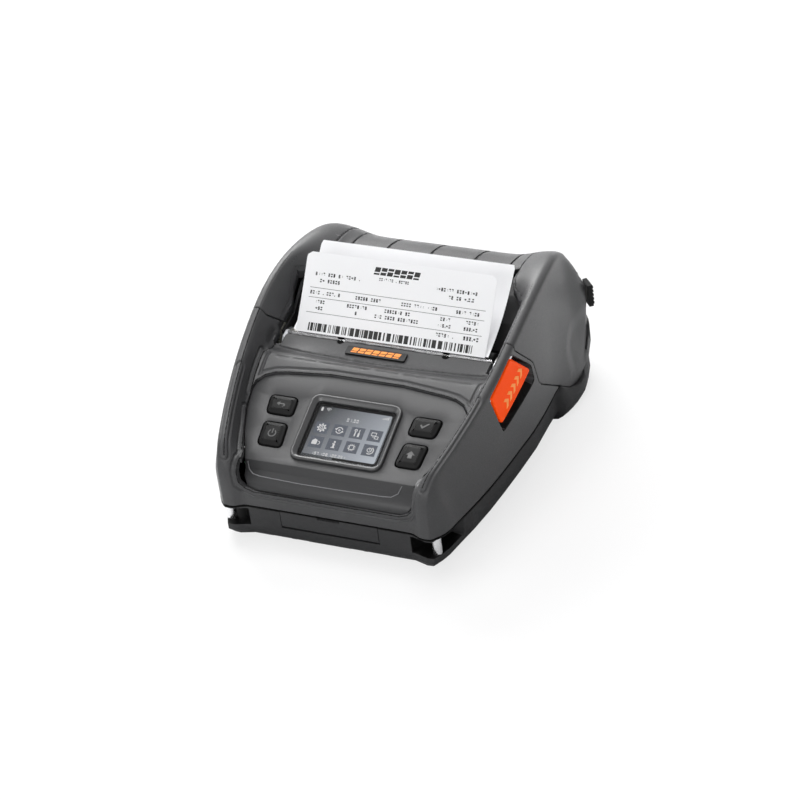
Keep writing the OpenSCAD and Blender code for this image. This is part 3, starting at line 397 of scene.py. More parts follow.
# Both oranges glow a little: painted light that makes them brighter than the lamps do
ORANGE = moulded("orange_plastic", (1.0, 0.075, 0.0), 0.6, grain=0.35, depth=0.03, strength=0.25, mottle=0.02,
                 specular=0.1, glow=0.26)
ORANGE_MARK = moulded("orange_relief", (1.0, 0.36, 0.1), 0.6, grain=0.35, depth=0.02, strength=0.2,
                      mottle=0.02, specular=0.1, glow=0.2)
# Pale plastic for the thread in the step's crease: a painted highlight
CREASE_HIGHLIGHT = moulded("painted_crease_highlight", grey(128, NEUTRAL), 0.4, grain=0.3, strength=0.1)
WHITE = moulded("gear_plastic", (0.70, 0.68, 0.6), 0.4, grain=0.3, strength=0.15)
STEEL = metal("bright_steel", (0.78, 0.78, 0.79), 0.22)
PLATED = metal("plated_sheet", (0.50, 0.51, 0.53), 0.36)
BRASS = metal("turned_brass", (0.80, 0.58, 0.25), 0.28)
SHIELD = metal("shield_tin", (0.68, 0.68, 0.70), 0.35)
CERAMIC = plain_gloss("print_head_glaze", (0.42, 0.40, 0.36), 0.25)
PAPER = paper_stock("label_paper", (0.92, 0.92, 0.93))
LINER = paper_stock("liner_paper", (0.88, 0.88, 0.89), 0.02)
INK = plain_gloss("thermal_print", grey(8), 0.6)
ROLL_PAPER = wound("roll_paper", (0.84, 0.84, 0.83), (0.68, 0.68, 0.67), 0.45)
CARD = wound("core_card", (0.50, 0.36, 0.21), (0.38, 0.26, 0.15), 0.8)
BOARD = circuit("board_mask", (0.02, 0.11, 0.05), (0.10, 0.28, 0.12))
DISPLAY = display_face("display_panel", grey(34, (0.92, 1, 1.1)), grey(182, (0.93, 1, 1.1)))
MASK = plain_gloss("display_mask", grey(24), 0.2)
GLYPH = glowing("display_glyph", grey(205))
TILE = glowing("display_tile", grey(84, (0.88, 1, 1.25)))
WINDOW = plain_gloss("window_sheet", (0.02, 0.02, 0.025), 0.25, alpha=0.03)
SYMBOL = plain_gloss("key_symbol", grey(56), 0.4)

FINISH = {
    COVER: "front_cover lid_shell roof_flap", HOUSING: "lower_housing", PANEL: "control_panel",
    TRIM: "lid_trim", LINING: "lid_inner_frame", RIM: "screen_rim", WINDOW: "screen_window",
    MASK: "screen_module", KEYS: "back_button power_button confirm_button menu_button",
    BADGE: "badge_plate", ORANGE: "release_lever", DOOR: "port_cover", CERAMIC: "print_head",
    BLACK: "screen_gasket left_guide right_guide battery_pack battery_latch battery_contacts power_inlet"
           " label_sensor",
    STEEL: "lever_pin tear_bar head_springs platen_shaft strap_pins hinge_pin hinge_springs",
    PLATED: "latch_shaft mechanism_frame head_bracket gear_bracket cover_screws",
    RUBBER: "platen_rubber rear_bumpers rubber_feet",
    WHITE: "platen_bushes platen_gear reduction_gear guide_pinion", BRASS: "motor_pinion",
    SHIELD: "feed_motor wireless_module usb_socket", BOARD: "keypad_board main_board",
    ROLL_PAPER: "label_roll", CARD: "roll_core", PAPER: "label_strip", LINER: "liner_strip",
}
for mat, names in FINISH.items():
    for name in names.split():
        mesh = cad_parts[name].data
        mesh.materials.clear()
        mesh.materials.append(mat)


# Making pieces
# Edges that turn by more than this are rounded in a recast node
SHARP_ANGLE = math.radians(38)


def settle(name, mesh, mat, body, stands_for, angle):
    """Links a finished mesh, in metres, as a piece on its body; edges above the angle stay sharp."""
    o = bpy.data.objects.new(name, mesh)
    scene.collection.objects.link(o)
    if mat:
        mesh.materials.clear()
        mesh.materials.append(mat)
    mesh.shade_smooth()
    mesh.set_sharp_from_angle(angle=math.radians(angle))
    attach(o, body)
    if stands_for:
        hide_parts(*stands_for)
    return o


def from_bmesh(name, bm, mat, body, stands_for, angle):
    bmesh.ops.recalc_face_normals(bm, faces=bm.faces)
    mesh = bpy.data.meshes.new(name)
    bm.to_mesh(mesh)
    bm.free()
    mesh.transform(Matrix.Scale(MM, 4))
    return settle(name, mesh, mat, body, stands_for, angle)


def merged_copy(node):
    """A welded bmesh copy of a node, in millimetres."""
    bm = bmesh.new()
    bm.from_mesh(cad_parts[node].data)
    bmesh.ops.transform(bm, matrix=Matrix.Scale(1000, 4), verts=bm.verts)
    bmesh.ops.remove_doubles(bm, verts=bm.verts, dist=0.001)
    return bm


def edged(bm, width):
    """Rounds the sharp edges of a welded bmesh."""
    bmesh.ops.dissolve_limit(bm, angle_limit=math.radians(0.4), verts=bm.verts, edges=bm.edges)
    sharp = [e for e in bm.edges if len(e.link_faces) == 2 and e.calc_face_angle() > SHARP_ANGLE]
    bmesh.ops.bevel(bm, geom=sharp, offset=width, segments=2, profile=0.5, affect="EDGES", clamp_overlap=True)
    bmesh.ops.triangulate(bm, faces=[f for f in bm.faces if len(f.verts) > 4])


COARSE = coarse_tree()
FORM = smooth_casing()


def outer(p):
    return COARSE.find_nearest(p)[3] < 0.02


# Shallow grip at the rear of the lid's sides: its front edge, top edge and corner radius in the side view
GRIP_Y, GRIP_Z, GRIP_R, GRIP_DEEP, GRIP_SLOPE = 55.5, 44.5, 15.0, 0.9, 9.0


def grip(y, z):
    """How deep the grip lies at a place of the side view."""
    q = (GRIP_Y + GRIP_R - y, z - GRIP_Z + GRIP_R)
    out = math.hypot(max(q[0], 0), max(q[1], 0)) + min(max(q), 0) - GRIP_R
    return GRIP_DEEP * ease(clamp(-out / GRIP_SLOPE, 0, 1))


def gripped(p, n):
    """A point and normal of the casing surface with the grip pressed in."""
    side = clamp((abs(n.x) - 0.6) / 0.3, 0, 1)
    d = grip(p.y, p.z) * side
    if d <= 0:
        return p, n
    slope = Vector((0, grip(p.y + 0.5, p.z) - grip(p.y - 0.5, p.z),
                    grip(p.y, p.z + 0.5) - grip(p.y, p.z - 0.5)))
    return p - Vector((math.copysign(d, n.x), 0, 0)), (n + abs(n.x) * side * slope).normalized()


# How far an outer edge is rounded off, more so along the seam's band, and the width of a seam's dark line
EDGE_R, SEAM_R, SEAM_BAND, SEAM_LINE = 0.55, 0.9, 1.2, 0.6
# The groove round the panel's opening and the step in front of the badge's platform
GROOVE_AT, GROOVE_HALF, GROOVE_DEEP = 2.6, 1.1, 0.6
PLATFORM_FALL, PLATFORM_FADE, PLATFORM_DEEP = 0.9, 6.0, 0.9
PLATFORM_HALF, PLATFORM_Y, PLATFORM_BOW, PLATFORM_TURN, PLATFORM_MID, PLATFORM_Z = 57, -12.7, 3.4, 5, 20, 62
# An edge of the outside that turns by more than this is a rim, which is marked at steps of this length
RIM_ANGLE, RIM_STEP = math.radians(40), 0.4
# Longest edges of the outside's faces: everywhere, in the grip, and in turns near what is rounded or pressed
FACE_LONG, GRIP_LONG, FINE_LONG = 3.6, 1.7, (1.8, 1.8, 1.0, 1.0, 0.6, 0.6)


def tree_from(points):
    tree = KDTree(max(len(points), 1))
    for i, p in enumerate(points or [Vector((0, 0, -1000))]):
        tree.insert(p, i)
    tree.balance()
    return tree


def rim_edges(bm, on):
    """Edges where the outside turns down into a gap."""
    return [e for e in bm.edges
            if len(e.link_faces) == 2 and all(on[v] for v in e.verts) and e.calc_face_angle(0) > RIM_ANGLE]


def rim_points(bm, on):
    points = []
    for e in rim_edges(bm, on):
        a, b = (v.co for v in e.verts)
        steps = max(1, int(e.calc_length() / RIM_STEP))
        points += [a.lerp(b, k / steps) for k in range(steps + 1)]
    return points


def platform_points():
    """The line round the front of the badge's platform, which runs into the mouth's sides."""
    flat = [(x / 2, PLATFORM_Y + PLATFORM_BOW * (x / 2 / PLATFORM_HALF) ** 2)
            for x in range(-2 * PLATFORM_HALF, 2 * PLATFORM_HALF + 1)]
    centre = PLATFORM_Y + PLATFORM_BOW + PLATFORM_TURN
    turn = [(PLATFORM_HALF + PLATFORM_TURN * math.sin(t), centre - PLATFORM_TURN * math.cos(t))
            for t in [math.radians(k * 9) for k in range(1, 11)]]
    flat += turn + [(-x, y) for x, y in turn]
    return [FORM(Vector((x, y, PLATFORM_Z)))[0] for x, y in flat]


def rounding(d, r):
    return r - math.sqrt(max(r * r - (r - d) ** 2, 0)) if d < r else 0.0


def swell(t):
    return (1 - t * t) ** 2 if abs(t) < 1 else 0.0


def below_platform(tree, p):
    """The step down in front of the platform, which fades out towards the panel."""
    at, _, d = tree.find(p)
    outward = Vector((at.x, 2 * (at.y - PLATFORM_MID), 0))
    if d > PLATFORM_FALL + PLATFORM_FADE or (p - at).dot(outward) < 0:
        return 0.0
    if d < PLATFORM_FALL:
        return PLATFORM_DEEP * ease(d / PLATFORM_FALL)
    return PLATFORM_DEEP * (1 - ease((d - PLATFORM_FALL) / PLATFORM_FADE))


def pressing(edges, panel, platform, radius):
    """Tells how deep the surface lies under the smooth form at a place."""

    def pressed(p):
        d = rounding(edges.find(p)[2], SEAM_R if p.z < SEAM_Z + SEAM_BAND else radius)
        if panel:
            d = max(d, GROOVE_DEEP * swell((panel.find(p)[2] - GROOVE_AT) / GROOVE_HALF))
            d = max(d, below_platform(platform, p))
        return d

    return pressed


def leaning(pressed, p, n, step=0.12, steepest=2.5):
    """The normal of the pressed surface at p, from the slope of its depth."""
    side = n.orthogonal().normalized()
    up = n.cross(side)
    lean = Vector()
    for way in (side, up):
        slope = (pressed(p + way * step) - pressed(p - way * step)) / (2 * step)
        lean += way * clamp(slope, -steepest, steepest)
    return (n + lean).normalized()


def split_long(bm, on, longest, near):
    """Halves the outside's edges that are too long, where near says so."""
    chosen = [e for e in bm.edges if on[e.verts[0]] and on[e.verts[1]] and e.calc_length() > longest
              and near((e.verts[0].co + e.verts[1].co) / 2)]
    bmesh.ops.subdivide_edges(bm, edges=chosen, cuts=1)
    bmesh.ops.triangulate(bm, faces=[f for f in bm.faces if len(f.verts) > 3])
    return {v: on[v] if v in on else outer(v.co) for v in bm.verts}


def in_grip(p):
    return abs(p.x) > 50 and p.y > GRIP_Y - 2 and p.z < GRIP_Z + 2


def by_panel(p):
    return abs(p.x) < 64 and p.y < -20 and p.z > SEAM_Z + 1.5


def refined(bm, on, hollow, edges, panel, platform):
    """Splits the outside into small faces, smallest where it is rounded or pressed."""
    for k in range(6):
        on = split_long(bm, on, FACE_LONG, outer)
    if hollow:
        for k in range(3):
            on = split_long(bm, on, GRIP_LONG, lambda p: outer(p) and in_grip(p))
    for longest in FINE_LONG:
        on = split_long(bm, on, longest, lambda p: edges.find(p)[2] < longest + 0.3 and outer(p))
        if panel:
            on = split_long(bm, on, longest, lambda p: platform.find(p)[2] < longest + 1.2 and outer(p))
            on = split_long(bm, on, longest,
                            lambda p: abs(panel.find(p)[2] - GROOVE_AT) < longest + 0.8 and outer(p))
    return on


def sorted_faces(bm, flags, edges, joint):
    """Numbers of the faces that face outward, of those beside a dark joint, and of the rest."""
    facing = set()
    joints = set()
    inner = set()
    for f in bm.faces:
        if all(flags[v.index] for v in f.verts):
            middle = f.calc_center_median()
            if edges.find(middle)[2] < (SEAM_LINE if middle.z < SEAM_Z + SEAM_BAND else joint):
                joints.add(f.index)
            if f.normal.dot(FORM(middle)[1]) > 0.7:
                facing.add(f.index)
                continue
        inner.add(f.index)
    return facing, joints, inner


def drawn(bm, flags, pressed, hollow):
    """Moves the outside onto the smooth form and returns its normals by vertex number."""
    depth = [pressed(v.co) if flags[v.index] else 0.0 for v in bm.verts]
    normals = {}
    for v in bm.verts:
        if flags[v.index]:
            q, n, d = FORM(v.co)
            q = q if d < 0.6 else v.co.copy()
            if hollow:
                q, n = gripped(q, n)
            d = depth[v.index]
            normals[v.index] = leaning(pressed, v.co, n) if d > 0.002 else n
            v.co = q - n * d
    return normals


def skin_piece(name, node, mat, body, hollow=False, lines=False, radius=EDGE_R, dark=None, joint=0.0):
    """A cover whose outside is drawn onto the smooth casing surface, with its edges rounded off."""
    bm = merged_copy(node)
    on = {v: outer(v.co) for v in bm.verts}
    rim = rim_points(bm, on)
    edges = tree_from(rim)
    panel = tree_from([p for p in rim if by_panel(p)]) if lines else None
    platform = tree_from(platform_points()) if lines else None
    on = refined(bm, on, hollow, edges, panel, platform)
    bm.verts.index_update()
    bm.faces.index_update()
    flags = [on[v] for v in bm.verts]
    facing, joints, inner = sorted_faces(bm, flags, edges, joint)
    normals = drawn(bm, flags, pressing(edges, panel, platform, radius), hollow)
    mesh = bpy.data.meshes.new(name)
    bm.to_mesh(mesh)
    bm.free()
    mesh.transform(Matrix.Scale(MM, 4))
    settle(name, mesh, mat, body, (node,), 32)
    # Faces beside a joint turn black as dark joints; inner faces that dark picks are painted black as painted
    # shade in a deep recess
    mesh.materials.append(BLACK)
    for p in mesh.polygons:
        if p.index in joints or (dark and p.index in inner and dark(p.center / MM)):
            p.material_index = 1
    corner = [Vector(n.vector) for n in mesh.corner_normals]
    for p in mesh.polygons:
        if p.index in facing:
            for li in p.loop_indices:
                corner[li] = normals[mesh.loops[li].vertex_index]
    mesh.normals_split_custom_set([tuple(n) for n in corner])


# Inside the lever's pocket the cover's faces are painted black: painted shade for the deep pocket
def in_shaded_lever_pocket(p):
    return p.x > 58 and -28 < p.y < 10 and 42 < p.z < 68


# Section of the seam's strip: outward and up from the cover's lower edge
SEAM_SECTION = [(-0.8, -0.75), (0.06, -0.75), (0.06, 0.02), (-0.8, 0.02)]
FRONT_LIMIT = FRONT_Y - 0.38


def seam_line(name, node):
    """The dark joint under a cover's lower edge: a thin strip that follows it."""
    bm = merged_copy(node)
    on = {v: outer(v.co) for v in bm.verts}
    pairs = [tuple(v.co.copy() for v in e.verts) for e in rim_edges(bm, on)
             if max(v.co.z for v in e.verts) < SEAM_Z + 0.6]
    bm.free()
    strip = bmesh.new()
    for pair in pairs:
        ends = []
        for p in pair:
            n = FORM(p)[1]
            n = Vector((n.x, n.y, 0)).normalized()
            corners = [p + n * t + Vector((0, 0, h)) for t, h in SEAM_SECTION]
            ends.append([strip.verts.new((q.x, max(q.y, FRONT_LIMIT), q.z)) for q in corners])
        for k in range(4):
            strip.faces.new((ends[0][k], ends[1][k], ends[1][(k + 1) % 4], ends[0][(k + 1) % 4]))
        strip.faces.new(ends[0])
        strip.faces.new(ends[1][::-1])
    return from_bmesh(name, strip, BLACK, "casing", (), 30)


seam_line("cover_joint", "front_cover")
skin_piece("front_cover_moulding", "front_cover", COVER, "casing", lines=True,
           dark=in_shaded_lever_pocket, joint=0.3)
skin_piece("lid_moulding", "lid_shell", COVER, "lid", hollow=True)
skin_piece("roof_flap_moulding", "roof_flap", COVER, "lid", joint=0.4)
skin_piece("opening_trim", "lid_trim", TRIM, "lid")


# The two front corner pockets in plan: their inner edge, front to back, and their heights
POCKET_EDGE = [(-95, 44), (-86, 44), (-81, 50.5), (-68.5, 55.5), (-67.8, 68)]
POCKET_LOW, POCKET_HIGH, POCKET_BACK = 8.4, 18.7, -67.0


def in_strap_pocket(p):
    if not POCKET_LOW < p.z < POCKET_HIGH or p.y > POCKET_BACK:
        return False
    return abs(p.x) > lookup(p.y, POCKET_EDGE) - 0.1


bm = merged_copy("lower_housing")
bmesh.ops.dissolve_limit(bm, angle_limit=math.radians(0.4), verts=bm.verts, edges=bm.edges)
bmesh.ops.triangulate(bm, faces=[f for f in bm.faces if len(f.verts) > 4])
base = from_bmesh("base_moulding", bm, HOUSING, "casing", ("lower_housing",), 32)
# Faces inside the strap pockets are painted black: painted shade in the deep pockets
base.data.materials.append(BLACK)
for p in base.data.polygons:
    if all(in_strap_pocket(base.data.vertices[v].co / MM) for v in p.vertices):
        p.material_index = 1


def recast(name, node, mat, body, width):
    bm = merged_copy(node)
    edged(bm, width)
    return from_bmesh(name, bm, mat, body, (node,), 40)


recast("panel_moulding", "control_panel", PANEL, "casing", 0.3)
recast("port_door", "port_cover", DOOR, "port_door", 0.3)
recast("battery_case", "battery_pack", BLACK, "battery", 0.3)
recast("battery_catch_slider", "battery_latch", BLACK, "battery_catch", 0.15)

# A thin raised thread along the foot of the panel's step, turned up at both ends, coloured pale as a painted
# highlight where the crease catches the light
CREASE = [(-45.2, -79.4, 41.2), (-44.2, -81.0, 37.6), (-42.0, -82.3, 36.2), (-38.0, -82.9, 35.7),
          (-15.6, -83.3, 35.3), (8.3, -83.1, 35.4), (29.0, -82.8, 35.7), (33.3, -82.5, 35.9),
          (36.4, -80.7, 37.2), (38.4, -79.2, 41.2)]
CREASE_R = 0.28


def thread(name, points, radius, mat, body, sides=6):
    """A thin round thread through a row of places."""
    bm = bmesh.new()
    points = [Vector(p) for p in points]
    rows = []
    for k, p in enumerate(points):
        along = (points[min(k + 1, len(points) - 1)] - points[max(k - 1, 0)]).normalized()
        across = along.cross(Vector((0, -0.34, 0.94))).normalized()
        up = across.cross(along)
        rows.append([bm.verts.new(p + radius * (math.cos(a) * across + math.sin(a) * up))
                     for a in [2 * math.pi * j / sides for j in range(sides)]])
    for a, b in zip(rows, rows[1:]):
        for j in range(sides):
            bm.faces.new((a[j], a[(j + 1) % sides], b[(j + 1) % sides], b[j]))
    bm.faces.new(rows[0])
    bm.faces.new(rows[-1][::-1])
    return from_bmesh(name, bm, mat, body, (), 50)


thread("step_crease_highlight", CREASE, CREASE_R, CREASE_HIGHLIGHT, "casing")

# Control panel details: x across, s up the slope and n over it, from the panel's foot
TILT = math.radians(20)
PANEL_X = Vector((1, 0, 0))
PANEL_S = Vector((0, math.cos(TILT), math.sin(TILT)))
PANEL_N = Vector((0, -math.sin(TILT), math.cos(TILT)))
PANEL_O = Vector((0, -72, 44.7))


def on_panel(x, s, n=0.0):
    return PANEL_O + x * PANEL_X + s * PANEL_S + n * PANEL_N


def rounded(points, r, n=6):
    out = []
    m = len(points)
    for i in range(m):
        p, a, b = (Vector(points[j % m]) for j in (i, i - 1, i + 1))
        ra, rb = min(r / (a - p).length, 0.48), min(r / (b - p).length, 0.48)
        for k in range(n + 1):
            t = k / n
            out.append(p + (1 - t) ** 2 * ra * (a - p) + t ** 2 * rb * (b - p))
    return out


def inset(points, d):
    """A counter-clockwise outline moved inward by d."""
    m = len(points)
    out = []
    for i in range(m):
        e = (points[(i + 1) % m] - points[i - 1]).normalized()
        out.append(points[i] + d * Vector((-e.y, e.x)))
    return out


def stacked(bm, rings, capped=True):
    """Skins a solid through rings of points, closed at both ends if capped."""
    rows = [[bm.verts.new(p) for p in ring] for ring in rings]
    n = len(rows[0])
    for a, b in zip(rows, rows[1:]):
        for k in range(n):
            bm.faces.new((a[k], a[(k + 1) % n], b[(k + 1) % n], b[k]))
    if capped:
        bm.faces.new(rows[0][::-1])
        bm.faces.new(rows[-1])


# Keys: side profile as inset and height, corner radius, outlines of the right pair, height of their marks
KEY_PROFILE = [(-1, -4.6), (-1, -3.0), (0.45, -3.0), (0.45, 0.1), (0.6, 0.5), (0.95, 0.75), (1.5, 0.85),
               (2.3, 1.45), (2.7, 1.63), (3.2, 1.7)]
KEY_CORNER = 3
UPPER = [(31.2, 20.3), (46, 20.3), (47.2, 31.8), (31.7, 31.8)]
LOWER = [(30.5, 1.6), (43.9, 1.6), (44.9, 16), (31.7, 16)]
MARK_LOW, MARK_HIGH = 1.64, 1.78


def key_cap(name, node, outline, side, body):
    pts = rounded([Vector((side * x, s)) for x, s in outline][::side], KEY_CORNER)
    bm = bmesh.new()
    stacked(bm, [[on_panel(p.x, p.y, h) for p in inset(pts, d)] for d, h in KEY_PROFILE])
    bmesh.ops.triangulate(bm, faces=[f for f in bm.faces if len(f.verts) > 4])
    return from_bmesh(name, bm, KEYS, body, (node,), 60)


key_cap("return_key", "back_button", UPPER, -1, "back_key")
key_cap("on_off_key", "power_button", LOWER, -1, "power_key")
key_cap("accept_key", "confirm_button", UPPER, 1, "confirm_key")
key_cap("home_key", "menu_button", LOWER, 1, "menu_key")


class Pen:
    """Draws flat closed solids from one height to another; place maps (u, v, height) to space."""

    def __init__(self, bm, place, low, high):
        self.bm = bm
        self.place = place
        self.low = low
        self.high = high

    def row(self, points, h):
        return [self.bm.verts.new(self.place(u, v, h)) for u, v in points]

    def prism(self, points):
        m = len(points)
        a = self.row(points, self.low)
        b = self.row(points, self.high)
        for k in range(m):
            self.bm.faces.new((a[k], a[(k + 1) % m], b[(k + 1) % m], b[k]))
        for tri in tessellate_polygon([[Vector((u, v, 0)) for u, v in points]]):
            self.bm.faces.new([b[k] for k in tri])
            self.bm.faces.new([a[k] for k in tri[::-1]])

    def bar(self, u0, v0, u1, v1):
        self.prism([(u0, v0), (u1, v0), (u1, v1), (u0, v1)])

    def ring(self, c, r0, r1, a0=0.0, a1=360.0, n=28):
        """An annulus or an arc of one."""
        closed = a1 - a0 >= 360
        angles = [math.radians(lerp(a0, a1, k / n)) for k in range(n if closed else n + 1)]
        rows = [self.row([(c[0] + r * math.cos(t), c[1] + r * math.sin(t)) for t in angles], h)
                for r, h in ((r0, self.low), (r1, self.low), (r1, self.high), (r0, self.high))]
        m = len(angles)
        for j in range(4):
            p, q = rows[j], rows[(j + 1) % 4]
            for k in range(m if closed else m - 1):
                self.bm.faces.new((p[k], p[(k + 1) % m], q[(k + 1) % m], q[k]))
        if not closed:
            self.bm.faces.new([r[0] for r in rows])
            self.bm.faces.new([r[-1] for r in rows][::-1])

    def stroke(self, p, q, w):
        """A straight stroke of width w from p to q."""
        d = (Vector(q) - Vector(p)).normalized() * w / 2
        n = Vector((-d.y, d.x))
        pts = [Vector(p) - d - n, Vector(q) + d - n, Vector(q) + d + n, Vector(p) - d + n]
        self.prism([tuple(v) for v in pts])


def symbol_piece(name, body, draw, centre):
    bm = bmesh.new()
    draw(Pen(bm, lambda u, v, h: on_panel(centre[0] + u, centre[1] + v, h), MARK_LOW, MARK_HIGH))
    return from_bmesh(name, bm, SYMBOL, body, (), 30)


def return_mark(pen):
    pen.prism([(-2.6, 0.2), (-0.9, 1.5), (-0.9, -1.1)])
    pen.bar(-0.9, -0.15, 1.1, 0.55)
    pen.ring((1.1, -0.45), 0.3, 1.0, -90, 90, 10)


def power_mark(pen):
    pen.ring((0, -0.2), 1.65, 2.25, 125, 415, 26)
    pen.bar(-0.3, -0.1, 0.3, 2.5)


def tick_mark(pen):
    pen.prism([(-2.3, 0.2), (-1.6, 0.8), (-0.7, -0.35), (2.0, 2.0), (2.4, 1.5), (-0.7, -1.6)])


def home_mark(pen):
    pen.prism([(-2.3, 0.1), (-1.1, 0.1), (-1.1, -1.9), (1.1, -1.9), (1.1, 0.1), (2.3, 0.1), (0, 2.3)])


symbol_piece("return_symbol", "back_key", return_mark, (-39, 26))
symbol_piece("on_off_symbol", "power_key", power_mark, (-37.6, 8.8))
symbol_piece("accept_symbol", "confirm_key", tick_mark, (39, 26))
symbol_piece("home_symbol", "menu_key", home_mark, (37.6, 8.6))

# Screen: a rim that slopes down to the window, the display under it and what it shows
SCREEN_S = (-56.7 + 72) / math.cos(TILT)
SCREEN_HALF = (21.7, 16.3)
SCREEN_CORNER = 2.5
RIM_PROFILE = [(3.2, -2.5), (3.2, 0.9), (2.95, 1.35), (2.45, 1.6), (1.9, 1.5), (0.35, -0.15), (0.08, -0.35),
               (0.0, -0.5), (0.0, -2.5)]
# The display's lower left corner from its middle, its size, and the height of its face
FACE_X, FACE_S, FACE_W, FACE_H, FACE_N = -20.6, -15.2, 41.2, 30.2, -1.55


def screen_ring(x, y, r, n):
    corners = [Vector((x, -y)), Vector((x, y)), Vector((-x, y)), Vector((-x, -y))]
    return [on_panel(p.x, SCREEN_S + p.y, n) for p in rounded(corners, r, 8)]


bm = bmesh.new()
stacked(bm, [screen_ring(SCREEN_HALF[0] + d, SCREEN_HALF[1] + d, SCREEN_CORNER + d, h)
             for d, h in RIM_PROFILE + RIM_PROFILE[:1]], False)
bmesh.ops.remove_doubles(bm, verts=bm.verts, dist=0.001)
from_bmesh("screen_bezel", bm, RIM, "casing", ("screen_rim",), 50)


def on_screen(u, v, h):
    """Place on the display: u and v run from 0 to 1 across and up, h is the height over its face."""
    return on_panel(FACE_X + FACE_W * u, SCREEN_S + FACE_S + FACE_H * v, FACE_N + h)


def screen_mm(cu, cv):
    """A frame in millimetres round one place of the display."""
    return lambda x, y, h: on_panel(FACE_X + FACE_W * cu + x, SCREEN_S + FACE_S + FACE_H * cv + y, FACE_N + h)


bm = bmesh.new()
Pen(bm, on_screen, -0.5, 0).bar(0.015, 0.0, 0.985, 1.0)
from_bmesh("display_plate", bm, DISPLAY, "casing", (), 30)


def gear_icon(pen):
    pen.ring((0, 0), 1.25, 1.75)
    pen.ring((0, 0), 0.45, 0.8)
    for k in range(8):
        a = math.radians(k * 45)
        pen.stroke((1.75 * math.cos(a), 1.75 * math.sin(a)), (2.15 * math.cos(a), 2.15 * math.sin(a)), 0.75)


def arrows_icon(pen):
    pen.ring((0, 0), 1.5, 1.95, 20, 160, 14)
    pen.ring((0, 0), 1.5, 1.95, 200, 340, 14)
    pen.prism([(-2.5, 0.9), (-1.0, 0.9), (-1.75, -0.2)])
    pen.prism([(2.5, -0.9), (1.0, -0.9), (1.75, 0.2)])
    pen.ring((0, 0), 0.25, 0.6, n=14)


def tools_icon(pen):
    pen.bar(-1.3, -2.0, -0.7, 1.0)
    pen.ring((-1.0, 1.5), 0.35, 0.8, -50, 230, 14)
    pen.bar(0.5, -2.1, 1.5, 0.1)
    pen.bar(0.8, 0.1, 1.2, 2.1)


def screens_icon(pen):
    t = 0.35
    for x0, y0, x1, y1 in ((-2.2, -0.2, 0.6, 1.9), (0.0, -1.8, 2.1, -0.1)):
        pen.bar(x0, y0, x1, y0 + t)
        pen.bar(x0, y1 - t, x1, y1)
        pen.bar(x0, y0 + t, x0 + t, y1 - t)
        pen.bar(x1 - t, y0 + t, x1, y1 - t)
    pen.bar(-1.3, -0.9, -0.3, -0.55)


def battery_icon(pen):
    pen.prism([(-2.2, -1.4), (0.6, -1.4), (0.6, 1.2), (-0.9, 1.9), (-2.2, 0.6)])
    pen.ring((1.2, -0.3), 0.75, 1.1, -100, 100, 12)


def note_icon(pen):
    pen.ring((0.1, 1.65), 0.05, 0.55, n=14)
    pen.prism([(-0.9, 0.75), (0.6, 0.75), (0.6, -1.5), (1.0, -1.5), (1.0, -2.0), (-1.0, -2.0), (-1.0, -1.5),
               (-0.4, -1.5), (-0.4, 0.3), (-0.9, 0.3)])


def chip_icon(pen):
    pen.bar(-1.3, -1.3, 1.3, -0.95)
    pen.bar(-1.3, 0.95, 1.3, 1.3)
    pen.bar(-1.3, -0.95, -0.95, 0.95)
    pen.bar(0.95, -0.95, 1.3, 0.95)
    for k in (-0.8, 0.0, 0.8):
        for s in (-1, 1):
            a, b = sorted((s * 1.3, s * 2.0))
            pen.bar(a, k - 0.14, b, k + 0.14)
            pen.bar(k - 0.14, a, k + 0.14, b)


def clock_icon(pen):
    pen.ring((0.2, -0.1), 1.75, 2.25, -120, 60, 18)
    pen.ring((0, 0.2), 0.95, 1.35)
    pen.stroke((0, 0.2), (0, 0.9), 0.25)
    pen.stroke((0, 0.2), (0.5, 0.2), 0.25)


SEGMENTS = {"0": "abcdef", "1": "bc", "2": "abged", "3": "abgcd", "4": "fgbc", "5": "afgcd", "6": "afgcde",
            "7": "abc", "8": "abcdefg", "9": "abcdfg", "-": "g", " ": ""}


def segment(s, w, h, t):
    """Corners of one stroke of a numeral w wide and h tall, with strokes t thick."""
    low, high = (h - t) / 2, (h + t) / 2
    return {"a": (0, h - t, w, h), "d": (0, 0, w, t), "g": (0, low, w, high), "f": (0, high, t, h - t),
            "b": (w - t, high, w, h - t), "e": (0, t, t, low), "c": (w - t, t, w, low)}[s]


def numerals(pen, text, u, v, h, weight=0.16, pitch=0.8):
    """Plain numerals in straight strokes, h tall, from u on the line v; a point stands close."""
    w, t = h * 0.52, h * weight
    for ch in text:
        if ch == ".":
            pen.bar(u, v, u + t, v + t)
            u += h * 0.35
            continue
        for s in SEGMENTS[ch]:
            x0, y0, x1, y1 = segment(s, w, h, t)
            pen.bar(u + x0, v + y0, u + x1, v + y1)
        u += h * pitch


